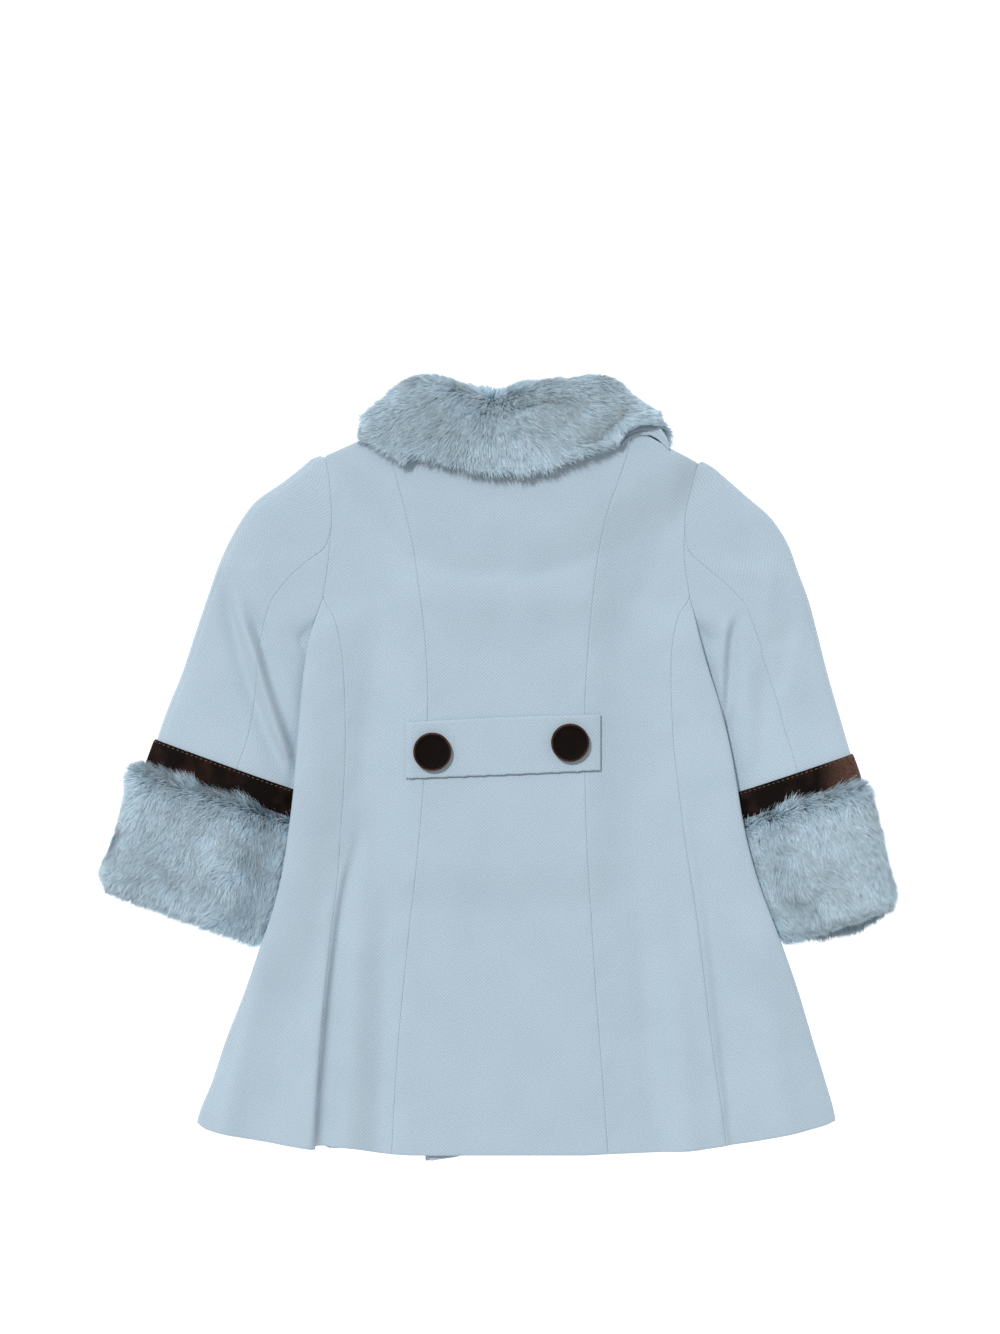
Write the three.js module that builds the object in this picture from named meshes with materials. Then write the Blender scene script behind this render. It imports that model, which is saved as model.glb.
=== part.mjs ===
// A toddler's wool coat with a fur collar, fur cuffs and a half belt, laid flat with its back up.
// Millimetres: x runs across the lying coat, y towards its collar, z up from the surface it lies on.
// The wearer's left is at negative x, because the back is up. The fronts lie underneath.
import * as THREE from 'three';

// Driving dimensions
const WALL = 2.4;
const SEAM = 0.3;
const BACK_GAP = 2.2;
const LOOSE_GAP = 3.4;
const EDGE_ROLL = 28;
const SHOULDER_EASE = 0.3;
const FUR_LAID = 9.5;
const COLLAR_PILE = 11;
const CUFF_HEIGHT = 26;
const RIBBON_WIDTH = 17;
const RIBBON_THICKNESS = 1.2;
const BELT_THICKNESS = 2.2;
const BUTTON_RADIUS = 11.4;
const BELT_BUTTON_HEIGHT = 5;
const FRONT_BUTTON_HEIGHT = 3.3;
const FRONT_OVERLAP = 2.7;
const RIGHT_FRONT_EDGE = -45;
const LEFT_FRONT_EDGE = 48;
const ARMHOLE_FOOT = 103;
const UNDERARM = 76;

// The x of each seam of the body at a level y. Above the foot of the armhole, side and outer are
// both the armhole.
const SEAM_COLUMNS = ['y', 'sideLeft', 'outerLeft', 'innerLeft', 'innerRight', 'outerRight', 'sideRight'];
const SEAM_ROWS = [
  [-236, -186, -111.2, -65.2, 65.2, 137, 204],
  [-212, -182.2, -110.1, -64.1, 63.5, 134.2, 202],
  [-190, -173.7, -108.7, -62.9, 61.9, 130.9, 196.2],
  [-165, -165.4, -107, -61.1, 60, 127.2, 188.5],
  [-135, -153.5, -104.7, -58.3, 57.7, 123.7, 179.3],
  [-110, -144.7, -102.3, -55.8, 56.1, 120.9, 170.4],
  [-90, -137.6, -100.1, -53.7, 54.9, 118.4, 162.9],
  [-65, -131, -97.3, -50.7, 53.2, 114.5, 153.8],
  [-35, -126.4, -95.2, -47.8, 51.7, 110, 146.2],
  [-10, -123.5, -93.6, -45.8, 51.1, 106.9, 142],
  [15, -121.7, -92.7, -44.2, 50.8, 104.2, 137.5],
  [40, -119.6, -93.1, -43.2, 51, 103, 131.2],
  [60, -117.5, -94.1, -43.8, 52.1, 102.6, 124.9],
  [76, -114.9, -96, -44.9, 53.3, 103.7, 120.4],
  [90, -110.5, -99.7, -46.1, 54.5, 107, 117.1],
  [103, -106.3, -106.3, -47.9, 55.9, 114, 114],
  [130, -102.6, -102.6, -51.6, 59.4, 110.7, 110.7],
  [150, -101.2, -101.2, -56, 63.6, 111.4, 111.4],
  [170, -102.4, -102.4, -61, 70.4, 115.7, 115.7],
  [187, -105, -105, -65.2, 76, 119.2, 119.2],
  [212, -108, -108, -71, 83, 122, 122],
];

// Hem of the back, its shoulder and neck line, and the neck line of the fronts
const HEM_ROWS = [
  [-186, -210.5], [-177, -217.2], [-162, -220.8], [-144, -223.8], [-112, -226.8], [-90, -228.6],
  [-70, -232], [-50, -232.8], [48, -232.8], [65, -232.2], [108, -229.8], [137, -226.2],
  [168, -220.8], [196, -214], [204, -210.5],
];
const TOP_ROWS = [
  [-108, 186], [-105, 187.2], [-91.8, 192.4], [-80, 197.5], [-52.2, 208.8], [-35, 204], [3, 198.6],
  [40, 204], [61.8, 211.8], [75, 205.5], [90, 197.6], [102.6, 190.8], [119, 182.6], [122, 181],
];
const FRONT_NECK_ROWS = [
  [-52.2, 208.8], [-45, 190], [-32, 180], [0, 178], [34, 180], [52, 190], [61.8, 211.8],
];

// How far the sides are lifted, because they lie on the sleeves and cuffs
const LIFT_ROWS = [
  [-236, 0], [-175, 0], [-150, 2.5], [-112, 8.6], [-100, 9.2], [-20, 9.2], [-6, 9.2], [14, 7.4],
  [32, 6.4], [76, 6.2], [85, 4.8], [95, 1.6], [103, 0], [220, 0],
];
const LIFT_REACH = 45;

// Lower edge of the collar's front leaves, which lie under the fronts
const LEAF_ROWS = [
  [-130, 262], [-112, 236], [-100, 216], [-85, 199], [-78, 192], [-66, 181], [-50, 167], [-30, 156],
  [-12, 151], [2, 155], [16, 151], [34, 156], [55, 167], [74, 178], [90, 186], [103, 191.5],
  [114, 205], [124, 222], [140, 252],
];

// Soft folds of the cloth: a line from its faded end to its full end, and its half widths on the
// low-x and the high-x side. A trough has a negative rise.
const FOLD_GROWTH = 0.6;
const FOLD_END = { at: 1.3, fade: 0.25 };
const FOLD_COLUMNS = ['x0', 'y0', 'x1', 'y1', 'rise', 'lowSide', 'highSide'];
const FOLD_ROWS = [
  [-101, -62, -114, -228, 6.5, 30, 5],
  [-84, -40, -91, -226, 1.8, 10, 10],
  [-66, -80, -72, -230, -1.2, 10, 8],
  [-140, -100, -166, -214, 2.2, 14, 14],
  [88, -60, 90, -228, -1.2, 12, 10],
  [104, -80, 114, -228, 2.4, 12, 16],
  [150, -110, 170, -218, 1.8, 14, 12],
  [-147, 60, -163, 108, -1, 7, 6],
  [-124, -6, -143, 66, 2.2, 6, 9],
  [136, 28, 139, 84, -1, 5, 8],
  [146, 60, 150, 112, 1.6, 14, 14],
  [180, 26, 172, 66, 1.4, 9, 9],
];

// Outer edge of each sleeve: y and x
const OUTER_EDGE_LEFT = [
  [16.8, -206.1], [34.2, -200.4], [55.2, -192], [78, -184.5], [100.2, -177], [121.2, -169.8],
  [138, -162], [151.2, -154.8], [160.2, -147], [172.2, -132], [181.2, -117], [186, -109],
];
const OUTER_EDGE_RIGHT = [
  [8, 210.6], [34.2, 203.4], [58.2, 196.8], [82.2, 190.8], [106.2, 184.2], [118.2, 179.4],
  [130.2, 175.2], [142.2, 169.8], [154.2, 159], [166.2, 144.6], [178.2, 130.2], [182, 124.5],
];

// Sections of each sleeve from its inner edge to its outer edge. elbow is how far the elbow seam
// lies from the inner edge, tuck how far that edge goes under the body, and raise how far the
// sleeve's underside is lifted towards the cuff.
const STATION_COLUMNS = ['innerY', 'outerY', 'elbow', 'tuck', 'raise'];
const STATIONS_LEFT = [
  [182, 185.4, 0, 0, 0], [176, 183, 0, 0, 0], [163, 179, 0, 0, 0], [148, 171, 0, 0, 0],
  [133, 159.2, 2, 0, 0], [116, 140.4, 15, 0, 0], [103, 124, 24.5, 0, 0], [90, 106, 29, 0, 0],
  [76, 89, 29, 0, 0], [65, 79, 33.4, 5, 0], [49, 66, 33.2, 5, 0.4], [33, 53, 33.3, 5, 1.2],
  [17, 40, 34.2, 5, 2.6], [2, 28, 36.3, 4.5, 4.4],
];
const STATIONS_RIGHT = [
  [178.5, 181, 0, 0, 0], [172.5, 178.5, 0, 0, 0], [160, 172.5, 0, 0, 0], [146, 162.5, 0, 0, 0],
  [131.5, 150, 2, 0, 0], [115.4, 133, 13.5, 0, 0], [103, 118, 24, 0, 0], [90, 101, 32, 0, 0],
  [76, 83, 34.2, 0, 0], [65, 72, 39.3, 5, 0], [49, 58, 39.1, 5, 0.4], [33, 44, 39, 5, 1.2],
  [17, 32, 39, 5, 2.6], [2, 20, 40.2, 4.5, 4.4],
];

// The wrist of each sleeve: where the ribbon's outer end lies, the directions along the sleeve and
// towards the body, and how far the sleeve and the cuff reach towards the body.
const WRISTS = {
  left: {
    corner: new THREE.Vector2(-206.1, 16.8),
    along: new THREE.Vector2(-0.342, -0.94),
    inward: new THREE.Vector2(0.94, -0.342),
    reach: [90.5, 93, 95.2],
    elbow: [38.5, 38.5, 38.5],
  },
  right: {
    corner: new THREE.Vector2(210.6, 8.04),
    along: new THREE.Vector2(0.3192, -0.9477),
    inward: new THREE.Vector2(-0.9477, -0.3192),
    reach: [75.2, 77, 78.6],
    elbow: [41, 41.5, 42],
  },
};
const WRIST_STEPS = [0, 8.5, RIBBON_WIDTH];
const WRIST_RAISE = 6.3;

// Sections of each cuff: distance from the ribbon's top edge, outer end, inner end, height, and how
// far its underside is lifted.
const CUFF_COLUMNS = ['along', 'outer', 'inner', 'height', 'lift'];
const CUFF_LEFT = [
  [17.4, -6, 95, 19, 4], [22, -11.5, 97.5, 23.5, 1], [34, -9.5, 100, CUFF_HEIGHT, 0],
  [50, -8, 102, CUFF_HEIGHT, 0], [66, -6, 104.5, CUFF_HEIGHT, 0], [82, -7.5, 105, CUFF_HEIGHT, 0],
  [92, -4.5, 104.5, 23.5, 1], [98, 4, 100.5, 18, 4],
];
const CUFF_RIGHT = [
  [17.4, -1, 78.5, 19, 4], [24, -6.5, 79.5, 23.5, 1], [34, -6, 80.5, CUFF_HEIGHT, 0],
  [50, -4.5, 81.5, CUFF_HEIGHT, 0], [66, -3, 81, CUFF_HEIGHT, 0], [82, -2, 80, CUFF_HEIGHT, 0],
  [92, -1.8, 79.5, 23.5, 1], [98, 4, 77.5, 18, 4],
];
const CUFF_SLOT = { bottom: 9.4, top: 12, outer: 12, inner: 12 };
const CUFF_WEDGE = 8.2;

// Outline of the collar's back leaf: x, lower edge and upper edge
const COLLAR_BACK_ROWS = [
  [-85.2, 199, 204.5], [-82, 197, 213], [-74, 192, 216.5], [-63, 186.2, 226.2], [-53.4, 181.2, 234.4],
  [-45, 184.6, 236.4], [-33, 182.4, 235], [-20, 178, 229.6], [-2, 175.2, 226.4], [12, 175.6, 230.6],
  [28, 178.8, 233.8], [42, 182.7, 234.6], [54, 187, 236.4], [63.6, 189.6, 235.6], [73, 191, 227.4],
  [81, 197.5, 220.4], [90, 199.4, 213.8], [96.5, 201, 208],
];
// Upper edge of the collar's front leaves
const LEAF_TOP_ROWS = [
  [-84.5, 205], [-74, 214.5], [-63, 224], [-52, 231.5], [-40, 232], [-14, 222], [2, 213], [18, 224],
  [40, 231], [58, 232], [70, 227], [82, 218.5], [92.7, 211.8], [99.6, 206.1], [103.2, 196],
];

const BELT = {
  left: -56.4,
  right: 60.2,
  topRows: [[-57.2, 26.7], [0, 29.8], [60, 31.5]],
  bottomRows: [[-57.2, -6.8], [4, -4.4], [60.6, -1.8]],
};
const BELT_BUTTONS = { left: [-40.5, 9.4], right: [41.9, 14.8] };
const FRONT_BUTTON_COLUMNS = { inner: -26, outer: 31 };
const FRONT_BUTTON_ROWS = [80, 25, -30];
const BUTTON_BAND = { left: -44, right: 49, bottom: -56, top: 98, ramp: 34 };
const LEAF_RAMP = 44;
const LEAF_EASE = 4;
const LAP_START = -75;
const LAP_RAMP = 25;

const COLOURS = {
  wool: 0xb2c5d3,
  fur: 0x93a7b3,
  velvet: 0x2a1a14,
};

// Curves and blends
function smooth(t) {
  const c = Math.min(1, Math.max(0, t));
  return c * c * (3 - 2 * c);
}

function rolled(t) {
  const c = Math.min(1, Math.max(0, t));
  return Math.sqrt(1 - (1 - c) * (1 - c));
}

// A smooth curve through the rows of a table that never overshoots them
function curve(rows, keyColumn = 0, valueColumn = 1) {
  const sorted = [...rows].sort((a, b) => a[keyColumn] - b[keyColumn]);
  const xs = sorted.map((row) => row[keyColumn]);
  const ys = sorted.map((row) => row[valueColumn]);
  const slopes = xs.slice(1).map((x, i) => (ys[i + 1] - ys[i]) / (x - xs[i]));
  const tangents = ys.map((_, i) => {
    const before = slopes[Math.max(0, i - 1)];
    const after = slopes[Math.min(slopes.length - 1, i)];
    return before * after <= 0 ? 0 : (2 * before * after) / (before + after);
  });
  return (x) => {
    const clamped = Math.min(xs[xs.length - 1], Math.max(xs[0], x));
    let i = 0;
    while (i < xs.length - 2 && clamped > xs[i + 1]) i += 1;
    const width = xs[i + 1] - xs[i];
    const t = (clamped - xs[i]) / width;
    const rise = (3 - 2 * t) * t * t;
    const out = t * (1 - t) * (1 - t);
    const back = t * t * (t - 1);
    return ys[i] * (1 - rise) + ys[i + 1] * rise + width * (tangents[i] * out + tangents[i + 1] * back);
  };
}

const seams = Object.fromEntries(
  SEAM_COLUMNS.slice(1).map((name, i) => [name, curve(SEAM_ROWS, 0, i + 1)]),
);
const princess = { left: seams.outerLeft, right: seams.outerRight };
seams.outerLeft = (y) => (y > ARMHOLE_FOOT ? seams.sideLeft(y) : princess.left(y));
seams.outerRight = (y) => (y > ARMHOLE_FOOT ? seams.sideRight(y) : princess.right(y));
const hem = curve(HEM_ROWS);
const top = curve(TOP_ROWS);
const frontNeck = curve(FRONT_NECK_ROWS);
const lift = curve(LIFT_ROWS);
const leafEdge = curve(LEAF_ROWS);
const leafTop = curve(LEAF_TOP_ROWS);
const outerEdge = { left: curve(OUTER_EDGE_LEFT), right: curve(OUTER_EDGE_RIGHT) };
const stations = { left: STATIONS_LEFT, right: STATIONS_RIGHT };
const cuffRows = { left: CUFF_LEFT, right: CUFF_RIGHT };
const SIDES = { left: -1, right: 1 };

// Height of the soft folds at a point
function folds(x, y) {
  return FOLD_ROWS.reduce((sum, row) => {
    const fold = Object.fromEntries(FOLD_COLUMNS.map((name, i) => [name, row[i]]));
    const t = (y - fold.y0) / (fold.y1 - fold.y0);
    const middle = fold.x0 + (fold.x1 - fold.x0) * t;
    const away = x - middle;
    const width = away < 0 ? fold.lowSide : fold.highSide;
    const along = smooth(t / FOLD_GROWTH) * smooth((FOLD_END.at - t) / FOLD_END.fade);
    return sum + fold.rise * along * Math.exp(-((away / width) ** 2));
  }, 0);
}

// Distance from a point of the body in to its nearer side edge
function fromSide(x, y) {
  return Math.min(x - seams.sideLeft(y), seams.sideRight(y) - x);
}

// Underside of the fronts: flat on the surface, and lifted over sleeves, buttons and collar
function frontUnder(x, y) {
  const side = lift(y) * (1 - smooth(fromSide(x, y) / LIFT_REACH));
  const band = BUTTON_BAND;
  const across = smooth((x - band.left) / band.ramp + 1) * smooth((band.right - x) / band.ramp + 1);
  const down = smooth((y - band.bottom) / band.ramp + 1) * smooth((band.top - y) / band.ramp + 1);
  const buttons = (FRONT_BUTTON_HEIGHT + SEAM) * across * down;
  const collar = (FUR_LAID + SEAM) * smooth((y - leafEdge(x) + LEAF_EASE) / LEAF_RAMP + 1);
  return Math.max(side, buttons, collar);
}

// How much of the second front's thickness lies at x
function doubled(x) {
  return smooth((x - LAP_START) / LAP_RAMP) * (1 - smooth((x - LEFT_FRONT_EDGE - 2) / LAP_RAMP));
}

// Upper surface of the back
function backTop(x, y) {
  const open = smooth((y - UNDERARM) / (ARMHOLE_FOOT - UNDERARM));
  const sideRoll = Math.max(open, rolled(fromSide(x, y) / EDGE_ROLL));
  const shoulderRoll = SHOULDER_EASE + (1 - SHOULDER_EASE) * rolled((top(x) - y) / EDGE_ROLL);
  const roll = Math.min(sideRoll, shoulderRoll);
  const gap = BACK_GAP + (LOOSE_GAP - BACK_GAP) * (1 - doubled(x));
  const fold = folds(x, y);
  const loose = gap + Math.max(fold, -gap / 2);
  return frontUnder(x, y) + WALL * 2 + FRONT_OVERLAP * doubled(x) + SEAM + (loose - SEAM) * roll;
}

// Closes a wall between two matching grids of points. With ring set, each row is a closed loop.
function wall(skin, lining, ring = false) {
  const rows = skin.length;
  const columns = skin[0].length;
  const points = [...skin.flat(), ...lining.flat()];
  const on = (i, j) => i * columns + (j % columns);
  const under = (i, j) => (rows + i) * columns + (j % columns);
  const faces = [];
  const quad = (a, b, c, d) => faces.push([a, b, c], [a, c, d]);
  const last = ring ? columns : columns - 1;
  for (let j = 0; j < last; j += 1) {
    for (let i = 0; i < rows - 1; i += 1) {
      quad(on(i, j), on(i, j + 1), on(i + 1, j + 1), on(i + 1, j));
      quad(under(i, j), under(i + 1, j), under(i + 1, j + 1), under(i, j + 1));
    }
    quad(on(0, j), under(0, j), under(0, j + 1), on(0, j + 1));
    quad(on(rows - 1, j), on(rows - 1, j + 1), under(rows - 1, j + 1), under(rows - 1, j));
  }
  for (let i = 0; i < rows - 1 && !ring; i += 1) {
    quad(on(i, 0), on(i + 1, 0), under(i + 1, 0), under(i, 0));
    quad(on(i, last), under(i, last), under(i + 1, last), on(i + 1, last));
  }
  const volume = faces.reduce((sum, [a, b, c]) => (
    sum + points[a].dot(new THREE.Vector3().crossVectors(points[b], points[c]))
  ), 0);
  const geometry = new THREE.BufferGeometry();
  geometry.setAttribute('position', new THREE.Float32BufferAttribute(points.flatMap((p) => p.toArray()), 3));
  geometry.setIndex(faces.flatMap(([a, b, c]) => (volume > 0 ? [a, b, c] : [a, c, b])));
  geometry.computeVertexNormals();
  return geometry;
}

const coat = new THREE.Group();
coat.name = 'coat';

function add(name, geometry, colour, roughness) {
  const material = new THREE.MeshStandardMaterial({ color: colour, roughness, metalness: 0 });
  const mesh = new THREE.Mesh(geometry, material);
  mesh.name = name;
  coat.add(mesh);
  return mesh;
}

// Levels of a panel's rows: up to the armhole's foot, and on to the shoulder as shares of the rest
const LOWER_LEVELS = [
  0, 0.06, 0.13, 0.2, 0.28, 0.355, 0.43, 0.5, 0.59, 0.665, 0.74, 0.81, 0.87, 0.918, 0.96, 1,
];
const UPPER_LEVELS = [0.155, 0.357, 0.536, 0.714, 0.869, 1];

// The columns of a panel between two seams, each the x at a level y
function between(low, high, shares) {
  return shares.map((share) => (y) => {
    const from = low(y) + SEAM / 2;
    return from + (high(y) - SEAM / 2 - from) * share;
  });
}

// A panel of the body from its columns. surface gives the z of its upper face.
function panelGrid({ columns, bottom, crest, levels, surface }) {
  const rowPoint = (column, level) => {
    let y = level.foot;
    let x = 0;
    for (let pass = 0; pass < 6; pass += 1) {
      x = column(y);
      const foot = bottom(x);
      y = level.upper
        ? ARMHOLE_FOOT + (crest(x) - ARMHOLE_FOOT) * level.share
        : foot + (ARMHOLE_FOOT - foot) * level.share;
    }
    return { x, y };
  };
  const skin = levels.map((level) => columns.map((column) => {
    const { x, y } = rowPoint(column, level);
    return new THREE.Vector3(x, y, surface(x, y));
  }));
  const lining = skin.map((row) => row.map((p) => new THREE.Vector3(p.x, p.y, p.z - WALL)));
  return [skin, lining];
}

const lowerLevels = LOWER_LEVELS.map((share) => ({ share, upper: false, foot: -200 + 300 * share }));
const upperLevels = UPPER_LEVELS.map((share) => ({ share, upper: true, foot: 150 }));
const allLevels = [...lowerLevels, ...upperLevels];
const sideLevels = [...lowerLevels.slice(0, -1), { share: 0.988, upper: false, foot: 99 }];

function backPanel(name, low, high, shares, levels = allLevels) {
  const columns = between(low, high, shares);
  const grid = panelGrid({ columns, bottom: hem, crest: top, levels, surface: backTop });
  add(name, wall(...grid), COLOURS.wool, 0.9);
}

const EVEN_SHARES = [0, 0.17, 0.34, 0.5, 0.66, 0.83, 1];
const ROLL_SHARES = [0, 0.04, 0.14, 0.3, 0.5, 0.72, 0.88, 1];
const mirrored = (shares) => shares.map((share) => 1 - share).reverse();

backPanel('centre_back', seams.innerLeft, seams.innerRight, EVEN_SHARES);
backPanel('side_back_left', seams.outerLeft, seams.innerLeft, EVEN_SHARES);
backPanel('side_back_right', seams.innerRight, seams.outerRight, EVEN_SHARES);
backPanel('side_panel_left', seams.sideLeft, seams.outerLeft, ROLL_SHARES, sideLevels);
backPanel('side_panel_right', seams.outerRight, seams.sideRight, mirrored(ROLL_SHARES), sideLevels);

// The fronts. The right one is the outer one, so it lies lowest, and its corner shows at the hem.
const FRONT_CORNER = { start: -62, end: -14, ramp: 10, drop: 6, short: 2.5 };

function frontHem(x) {
  const corner = smooth((x - FRONT_CORNER.start) / FRONT_CORNER.ramp)
    * smooth((FRONT_CORNER.end - x) / FRONT_CORNER.ramp);
  return hem(x) + FRONT_CORNER.short - FRONT_CORNER.drop * corner;
}

function frontCrest(x) {
  const atNeck = x > FRONT_NECK_ROWS[0][0] && x < FRONT_NECK_ROWS.at(-1)[0];
  return atNeck ? frontNeck(x) : top(x);
}

function frontPanel(name, columns, raised) {
  const surface = (x, y) => frontUnder(x, y) + FRONT_OVERLAP * raised(x) + WALL;
  const grid = panelGrid({ columns, bottom: frontHem, crest: frontCrest, levels: allLevels, surface });
  add(name, wall(...grid), COLOURS.wool, 0.9);
}

const FRONT_SHARES = [0, 0.07, 0.2, 0.36, 0.52, 0.68, 0.84];
const LAP_COLUMNS = [RIGHT_FRONT_EDGE, -32, -17, -2, 14, 31, LEFT_FRONT_EDGE].map((x) => () => x);
frontPanel(
  'front_left',
  [...between(seams.sideLeft, () => RIGHT_FRONT_EDGE, FRONT_SHARES), ...LAP_COLUMNS],
  (x) => smooth((x - LAP_START) / LAP_RAMP),
);
frontPanel(
  'front_right',
  [...LAP_COLUMNS, ...between(() => LEFT_FRONT_EDGE, seams.sideRight, mirrored(FRONT_SHARES))],
  () => 0,
);

// Sleeves. A section runs from its inner edge (at the armhole or under the body) to its outer fold.
const FOLD_RADIUS = 3;
const SLEEVE_HEIGHT = 8.2;
const FLAT_EDGE = 6;
const SLEEVE_ROUND = 22;
const RAISE_REACH = 36;
const WRIST_EDGE_RAISE = 1.6;

function sleeveSections(side) {
  const sign = SIDES[side];
  const sideSeam = sign < 0 ? seams.sideLeft : seams.sideRight;
  const sections = stations[side].map((row) => {
    const station = Object.fromEntries(STATION_COLUMNS.map((name, i) => [name, row[i]]));
    const edge = sideSeam(station.innerY);
    const x = edge + sign * (station.tuck > 0 ? -station.tuck : SEAM);
    const atArmhole = station.innerY > UNDERARM + 1;
    return {
      inner: new THREE.Vector2(x, station.innerY),
      outer: new THREE.Vector2(outerEdge[side](station.outerY), station.outerY),
      elbow: station.elbow,
      raise: station.raise,
      edgeRaise: 0.25 * station.raise,
      edgeHeight: atArmhole ? backTop(edge - sign * SEAM, station.innerY) : 2 * WALL + SEAM,
      flat: atArmhole ? 0 : FLAT_EDGE,
    };
  });
  const wrist = WRISTS[side];
  WRIST_STEPS.forEach((step, i) => {
    const outer = wrist.corner.clone().addScaledVector(wrist.along, step);
    sections.push({
      inner: outer.clone().addScaledVector(wrist.inward, wrist.reach[i]),
      outer,
      elbow: wrist.elbow[i],
      raise: WRIST_RAISE,
      edgeRaise: WRIST_EDGE_RAISE,
      edgeHeight: 2 * WALL + SEAM,
      flat: FLAT_EDGE,
    });
  });
  return sections;
}

// Total thickness of the sleeve at a distance from its outer fold
function sleeveThickness(section, fromOuter) {
  const fromInner = section.inner.distanceTo(section.outer) - fromOuter;
  const outerRound = rolled((fromOuter - FOLD_RADIUS) / SLEEVE_ROUND);
  const innerRound = rolled((fromInner - section.flat) / SLEEVE_ROUND);
  const outerDrop = (SLEEVE_HEIGHT - 2 * FOLD_RADIUS) * (1 - outerRound);
  const innerDrop = (SLEEVE_HEIGHT - section.edgeHeight) * (1 - innerRound);
  return Math.max(2 * WALL + SEAM, SLEEVE_HEIGHT - outerDrop - innerDrop);
}

function sleeveUnderside(section, fromOuter) {
  const fromInner = section.inner.distanceTo(section.outer) - fromOuter;
  return section.edgeRaise + (section.raise - section.edgeRaise) * smooth(fromInner / RAISE_REACH);
}

// A point of the sleeve's skin, moved out by an offset (a negative one gives the inside)
function sleevePoint(section, item, offset) {
  const inward = section.inner.clone().sub(section.outer).normalize();
  const place = (fromOuter, z) => {
    const p = section.outer.clone().addScaledVector(inward, fromOuter);
    return new THREE.Vector3(p.x, p.y, z);
  };
  const base = sleeveUnderside(section, item.fromOuter);
  if (item.kind === 'fold') {
    const half = sleeveThickness(section, FOLD_RADIUS) / 2;
    const out = (FOLD_RADIUS + offset) * Math.cos(item.angle);
    return place(FOLD_RADIUS - out, base + half + (half + offset) * Math.sin(item.angle));
  }
  if (item.kind === 'under') return place(item.fromOuter, base - offset);
  const p = place(item.fromOuter, 0);
  p.z = base + sleeveThickness(section, item.fromOuter) + folds(p.x, p.y) + offset;
  return p;
}

// The way round a section: the under sleeve's top, the top sleeve's top, its fold and its underside
const UNDER_SHARES = [0, 0.1, 0.25, 0.45, 0.7, 1];
const TOP_SHARES = [1, 0.62, 0.38, 0.2, 0.09, 0.025, 0];
const FOLD_ANGLES = [60, 30, 0, -30, -60].map((degrees) => THREE.MathUtils.degToRad(degrees));
const BOTTOM_SHARES = [0, 0.12, 0.3, 0.5, 0.72, 0.9, 1];

function sleeveWay(section) {
  const width = section.inner.distanceTo(section.outer);
  const seam = width - section.elbow;
  const fold = FOLD_RADIUS;
  return {
    under: UNDER_SHARES.map((share) => ({
      kind: 'top', fromOuter: width - (section.elbow - SEAM / 2) * share,
    })),
    top: TOP_SHARES.map((share) => ({
      kind: 'top', fromOuter: fold + (seam - (section.elbow > 0 ? SEAM / 2 : 0) - fold) * share,
    })),
    fold: FOLD_ANGLES.map((angle) => ({ kind: 'fold', angle, fromOuter: fold })),
    bottom: BOTTOM_SHARES.map((share) => ({ kind: 'under', fromOuter: fold + (width - fold) * share })),
  };
}

function addSleeve(side) {
  const sections = sleeveSections(side);
  const ways = sections.map(sleeveWay);
  const grid = (parts, offset, first = 0) => ways.slice(first).map((way, i) => (
    parts.flatMap((part) => way[part]).map((item) => sleevePoint(sections[i + first], item, offset))
  ));
  const topParts = ['top', 'fold', 'bottom'];
  const elbowStart = sections.findIndex((section) => section.elbow > 0);
  add(`sleeve_top_${side}`, wall(grid(topParts, 0), grid(topParts, -WALL)), COLOURS.wool, 0.9);
  add(`sleeve_under_${side}`, wall(grid(['under'], 0, elbowStart), grid(['under'], -WALL, elbowStart)),
    COLOURS.wool, 0.9);
  addRibbon(side, sections.slice(-WRIST_STEPS.length));
}

// The velvet ribbon goes round the sleeve above its cuff
function addRibbon(side, sections) {
  const loops = (offset) => sections.map((section) => {
    const way = sleeveWay(section);
    const items = [...way.under.slice(0, -1), ...way.top, ...way.fold, ...way.bottom];
    const loop = items.map((item) => sleevePoint(section, item, offset));
    const sideways = section.inner.clone().sub(section.outer).normalize().multiplyScalar(offset);
    [loop[0], loop[loop.length - 1]].forEach((p) => {
      p.x += sideways.x;
      p.y += sideways.y;
    });
    return loop;
  });
  add(`ribbon_${side}`, wall(loops(SEAM + RIBBON_THICKNESS), loops(SEAM), true), COLOURS.velvet, 0.6);
}

// A cuff: a thick ring of fur, flat underneath, whose inner side is a wedge under the body's edge
const CUFF_TOP_SHARES = [0, 0.02, 0.05, 0.1, 0.18, 0.28, 0.42, 0.58, 0.72, 0.84, 0.93, 0.98, 1];
const CUFF_BOTTOM_SHARES = [0.97, 0.88, 0.7, 0.5, 0.3, 0.12, 0.03];

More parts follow.
